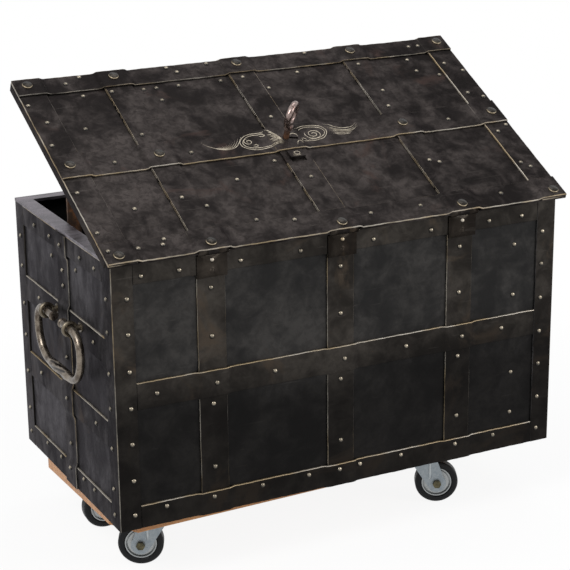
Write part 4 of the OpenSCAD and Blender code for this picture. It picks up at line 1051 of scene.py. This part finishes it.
def cover_mark():
    """A curl on the thumb end of the keyhole cover, drawn about the key like the others."""
    return [spiral((0, -41), (8, 5), (2.5, 2), 1.3, 3.3, 46),
        bent((-9, -46), (-3, -48), (3, -48), (9, -45), count=20)]


SCROLL_W, FINE_W, MARK_W = 1.7 * MM, 1.5 * MM, 1.3 * MM
FINE_TAPER = 18
THUMB_TOP = 6.7 * MM
chased = [ridge(line, SCROLL_W) for line in scroll_lines()]
chased += [ridge(line, FINE_W, FINE_TAPER) for line in plume_lines()]
marks = [ridge(line, MARK_W, base=THUMB_TOP) for line in cover_mark()]
make_piece("chased_scrolls", all_in_place(chased, LID), "lid", line_iron)
make_piece("chased_cover_mark", all_in_place(marks, LID),
    "keyhole_cover", line_iron)
print(len(chased), "lines in the scrollwork")

# %% [markdown]
# ## Rivet heads
#
# The plain rivet heads have the right shape, but each is painted with light and shade: light
# on top and dark at its foot. So each node is copied, its loose triangles are merged, and its
# `rub_and_light` is worked out from the cosine between the head's surface and the way that its
# wall faces. It is 1 on top of the dome and 0 round its foot. On the walls that way leans
# upwards a little, so that the upper side of a head gets the painted highlight and the side
# under it the painted shade. For the lid's large heads it leans far to the front, so that only
# the edge on the hinge side is near 0, and there the crescent highlight is painted.

# %% Heads with their wear and painted light
MERGE = 0.01 * MM
FACING_FROM, FACING_OVER = 0.25, 0.7


def heads_with_painted_light(node, body, facing, material):
    """A merged copy of a node whose rub_and_light, its painted highlight and shade, grows evenly
    with the dot of normal and facing.
    """
    mesh = frame["nodes"][node].data.copy()
    face_outwards(mesh, MERGE)
    flat = np.empty(3 * len(mesh.vertices), np.float32)
    mesh.vertices.foreach_get("co", flat)
    points = flat.reshape(-1, 3).copy()
    mesh.vertices.foreach_get("normal", flat)
    top = (flat.reshape(-1, 3) * facing(points)).sum(axis=1)
    write_rub_and_light(mesh, np.clip((top - FACING_FROM) / FACING_OVER, 0, 1))
    shade_smooth(mesh, HEAD_SHARP)
    mesh.materials.clear()
    mesh.materials.append(material)
    piece = add_object("painted_light_" + node, mesh)
    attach(piece, body)
    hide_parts(node)
    print(piece.name, len(mesh.vertices), "points")


# Where each head's painted highlight is aimed: outward and a little up on the walls, outward on the
# knuckles.
LEAN_OUT, LEAN_UP = 0.86, 0.5
TO_FRONT = (0, LEAN_UP / 2, 1)
FAR_TO_FRONT = (0.3, 0.8, 1.5)
KNUCKLE_OUT, KNUCKLE_UP = 0.74, 0.1
KNUCKLE_TO = 14 * MM
RIVET_FROM, RIVET_TO = 16 * MM, 32 * MM
PROUD = 0.15 * MM


def wall_facing(points, axis, middle=0):
    """Outward along an axis on either side of its middle, leaning upwards."""
    facing = np.zeros_like(points)
    facing[:, axis] = LEAN_OUT * np.sign(points[:, axis] - middle)
    facing[:, 2] = LEAN_UP
    return facing


def lid_facing(way):
    """One direction of the lid's layout, as it stands in space."""
    return np.array((LID @ Vector((*way, 0))).to_tuple()[:3])[None]


def leaf_with_painted_light(points):
    """Outward on a leaf's upper rivet and its knuckles, which get a painted highlight, and zero
    elsewhere.
    """
    face_y = MIDDLE_Y - HALF_D - LAP_RISE - STRAP_T
    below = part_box("hinge_leaves")[1].z - points[:, 2]
    upper = (points[:, 1] < face_y - PROUD) & (below > RIVET_FROM) & (below < RIVET_TO)
    knuckle = below < KNUCKLE_TO
    out = LEAN_OUT * upper + KNUCKLE_OUT * knuckle
    up = LEAN_UP * upper + KNUCKLE_UP * knuckle
    return np.stack([0 * below, -out, up], axis=-1)


heads_with_painted_light("wall_rivets", "chest", lambda points: wall_facing(points, 1, MIDDLE_Y),
    rivet_iron)
heads_with_painted_light("hinge_leaves", "chest", leaf_with_painted_light, leaf_iron)
heads_with_painted_light("end_rivets", "chest", lambda points: wall_facing(points, 0),
    rivet_iron)
heads_with_painted_light("lid_rivets", "lid", lambda points: lid_facing(TO_FRONT), rivet_iron)
heads_with_painted_light("lid_large_heads", "lid", lambda points: lid_facing(FAR_TO_FRONT),
    large_head_iron)

# %% [markdown]
# ## Drop handles
#
# A handle is one forged bar: it starts at a nub with a flange, passes through its eye, turns
# down in a wide bend, and comes round to a thicker grip, whose middle was twisted while hot,
# so that a hand holds it well. A tube along that path does it: at each station the radius
# follows the bar, and on the grip it also waves with the angle, which makes the flutes.

# %% Handle sizes
HANDLE_Y = -27 * MM
HANDLE_Z = 298 * MM
HANDLE_OUT = (19 + 3) * MM
EYE_HALF = 52.5 * MM
NUB = 34 * MM
BAR_R = 6.5 * MM
GRIP_R = 8.5 * MM
HALF_W = 96 * MM
DROP = 85 * MM
UPPER_R = 30 * MM
LOWER_R = 50 * MM
NUB_TIP_R = 5.5 * MM
FLANGE = 1.6 * MM
GRIP_EASE = 20 * MM
TWIST_HALF = 34 * MM
TWIST_PITCH = 9 * MM
FLUTES, FLUTE_DEPTH = 5, 0.15
RING = np.linspace(0, 2 * math.pi, 25)[:-1]


def arc(centre, radius, low, high, count):
    """Points on a circle from one angle to another, in degrees."""
    angle = np.radians(np.linspace(low, high, count))
    return np.array(centre) + radius * np.stack([np.cos(angle), np.sin(angle)], axis=-1)


def half_path():
    """Half a handle from the nub's end to the middle of its grip, as a line in its plane."""
    nub_x = EYE_HALF - NUB
    straight = np.column_stack([np.linspace(nub_x, HALF_W - UPPER_R, 40), np.zeros(40)])
    upper = arc((HALF_W - UPPER_R, -UPPER_R), UPPER_R, 90, 0, 16)[1:]
    lower = arc((HALF_W - LOWER_R, LOWER_R - DROP), LOWER_R, 0, -90, 24)
    grip = np.column_stack([np.linspace(HALF_W - LOWER_R, 0, 40)[1:], np.full(39, -DROP)])
    return np.concatenate([straight, upper, lower, grip])


# %% One handle
def handle_part(wall):
    """A tube: centre + radius(station, angle) * (cos * side + sin * out), mirrored for the half."""
    half = half_path()
    path = np.concatenate([half, (half * [-1, 1])[::-1][1:]])
    along = np.gradient(path, axis=0)
    along /= np.linalg.norm(along, axis=1)[:, None]
    side = np.stack([-along[:, 1], along[:, 0]], axis=-1)
    low = path[:, 1] < -DROP + 0.1 * MM
    thick = np.clip((HALF_W - LOWER_R - np.abs(path[:, 0])) / GRIP_EASE, 0, 1) * low
    station = np.arange(len(path))
    flange = np.isin(np.minimum(station, station[::-1]), (1, 2)) * FLANGE
    radius = BAR_R + (GRIP_R - BAR_R) * thick + flange
    radius[[0, -1]] = NUB_TIP_R
    flute = FLUTE_DEPTH * thick * np.clip(1 - np.abs(path[:, 0]) / TWIST_HALF, 0, 1) ** 0.4
    wave = np.cos(FLUTES * RING[None] + path[:, :1] / TWIST_PITCH)
    reach = radius[:, None] * (1 + flute[:, None] * (wave - 1))
    across = reach * np.cos(RING)
    points = np.stack([path[:, :1] + side[:, :1] * across, path[:, 1:] + side[:, 1:] * across,
        reach * np.sin(RING)], axis=-1)
    # The grooves between the flutes get a low rub_and_light, so they are painted black as shade.
    wear_and_light = np.clip(1 - 0.55 * (1 - wave) * thick[:, None], 0, 1)
    points = points.reshape(-1, 3) + [HANDLE_Y, HANDLE_Z, HANDLE_OUT]
    return in_place((points, grid_faces(len(path), len(RING)), wear_and_light.ravel()), wall)


for body, wall in (("left_handle", LEFT_END), ("right_handle", RIGHT_END)):
    make_piece("forged_" + body, [handle_part(wall)], body, handle_iron, [body])

# %% [markdown]
# ## Pressed ribs on the forks
#
# A caster's fork is pressed from sheet, with a rib down each leg that stiffens it; the rib's
# crest is painted paler, as a highlight. The plain leg is flat, so a half round rib is laid on
# it. The frame gives the swivel's axis and the wheel's, and the line between them is the way
# that the fork trails.

# %% Fork ribs
LEG_OUT = 17 * MM
RIB_BACK = 12 * MM
RIB_HALF = 2.6 * MM
RIB_PROUD = 1.5 * MM
RIB_SINK = 0.4 * MM
RIB_LOW = 46 * MM
RIB_HIGH = 80 * MM


def fork_rib(swivel, wheel, side):
    """Half an ellipse across, carried up the leg; both ends taper by the root of 1 - t^4."""
    t = np.linspace(-1, 1, 17)
    share = np.sqrt(np.clip(1 - t ** 4, 0.01, 1))
    angle = np.linspace(0, math.pi, 9)
    trail = np.array([wheel.x - swivel.x, wheel.y - swivel.y])
    trail /= np.linalg.norm(trail)
    across = np.array([-trail[1], trail[0]]) * side
    centre = np.array([wheel.x, wheel.y]) - trail * RIB_BACK + across * (LEG_OUT - RIB_SINK)
    flat = np.cos(angle)[None, :, None] * RIB_HALF * share[:, None, None] * trail
    out = np.sin(angle)[None, :, None] * (RIB_PROUD + RIB_SINK) * share[:, None, None] * across
    height = RIB_LOW + (RIB_HIGH - RIB_LOW) * (t + 1) / 2
    xy = centre + flat + out
    z = np.repeat(height[:, None], len(angle), axis=1)
    points = np.concatenate([xy, z[..., None]], axis=-1).reshape(-1, 3)
    # Its rub_and_light is the sine across the rib, 1 on the crest, where the highlight is painted.
    return points, grid_faces(len(t), len(angle)), np.tile(np.sin(angle), len(t))


for number in CASTERS:
    swivel = Vector(joints[f"caster_{number}_swivel"]["pos_m"])
    wheel = Vector(joints[f"wheel_{number}_roll"]["pos_m"])
    make_piece(f"fork_ribs_{number}", [fork_rib(swivel, wheel, side) for side in (-1, 1)],
        f"caster_{number}", zinc)

# %% [markdown]
# ## The studio
#
# A white floor that keeps a faint shadow, a white world for whatever looks past it, and
# three large soft lamps: a key from the upper left, a weaker one from the right, and one
# above. For the camera and for reflections the floor is nine tenths plain white near the
# chest, and all of it further away, so that it has no visible horizon. That is a Mix Shader
# whose share grows with the distance.

# %% Floor, world and lamps
NEAR_WHITE = 0.9
WHITE_FROM, WHITE_TO = 0.55, 1.3
FLOOR_REACH = 14.0
WORLD_FILL = 0.45
LOOK_AT = (0, 0, 0.4)


def studio_floor():
    """A large white plane a hair under the tyres, as stage."""
    f = Finish("studio white")
    f.set(Base_Color=(0.92, 0.92, 0.92, 1), Roughness=0.9)
    place_on_floor = f.stretched(1, 1, 1)
    distance = f.node("ShaderNodeVectorMath", {"operation": "LENGTH"}, {0: place_on_floor}, "Value")
    far = NEAR_WHITE + f.step(distance, WHITE_FROM, WHITE_TO) * (1 - NEAR_WHITE)
    camera_ray = f.node("ShaderNodeLightPath", out="Is Camera Ray")
    glossy_ray = f.node("ShaderNodeLightPath", out="Is Glossy Ray")
    glow = f.tree.nodes.new("ShaderNodeEmission")
    blend = f.tree.nodes.new("ShaderNodeMixShader")
    f.put(blend.inputs[0], far * (camera_ray + glossy_ray))
    f.tree.links.new(f.shader.outputs[0], blend.inputs[1])
    f.tree.links.new(glow.outputs[0], blend.inputs[2])
    f.tree.links.new(blend.outputs[0], f.tree.nodes["Material Output"].inputs["Surface"])
    mesh = bpy.data.meshes.new("studio_floor")
    square = [(-1, -1), (1, -1), (1, 1), (-1, 1)]
    corners = [(x * FLOOR_REACH, y * FLOOR_REACH, 0) for x, y in square]
    mesh.from_pydata(corners, [], [(0, 1, 2, 3)])
    mesh.materials.append(f.material)
    plane = add_object("studio_floor", mesh)


def white_world(fill):
    """A world that is white to the camera and to reflections, and lights with a plain fill."""
    world = bpy.data.worlds.new("studio world")
    bpy.context.scene.world = world
    world.use_nodes = True
    tree = world.node_tree
    background = tree.nodes["Background"]
    background.inputs["Color"].default_value = (1, 1, 1, 1)
    path = tree.nodes.new("ShaderNodeLightPath")
    seen = path.outputs["Is Camera Ray"]
    for name in ("Is Glossy Ray", "Is Transmission Ray"):
        either = tree.nodes.new("ShaderNodeMath")
        either.operation = "MAXIMUM"
        tree.links.new(seen, either.inputs[0])
        tree.links.new(path.outputs[name], either.inputs[1])
        seen = either.outputs[0]
    level = tree.nodes.new("ShaderNodeMapRange")
    level.inputs["To Min"].default_value = fill
    tree.links.new(seen, level.inputs["Value"])
    tree.links.new(level.outputs[0], background.inputs["Strength"])


def soft_lamp(name, at, size, power):
    """A square area lamp that faces the chest."""
    data = bpy.data.lights.new(name, "AREA")
    data.size = size
    data.energy = power
    lamp = add_object(name, data)
    lamp.location = at
    lamp.rotation_euler = (Vector(LOOK_AT) - Vector(at)).to_track_quat("-Z", "Y").to_euler()


studio_floor()
white_world(WORLD_FILL)
soft_lamp("key lamp", (-2.2, -1.2, 2.6), 1.3, 63)
soft_lamp("side lamp", (2.4, -2.2, 1.6), 1.4, 45)
soft_lamp("top lamp", (0.6, 0.5, 3.2), 1.8, 21)
bpy.context.scene.view_settings.view_transform = "Standard"
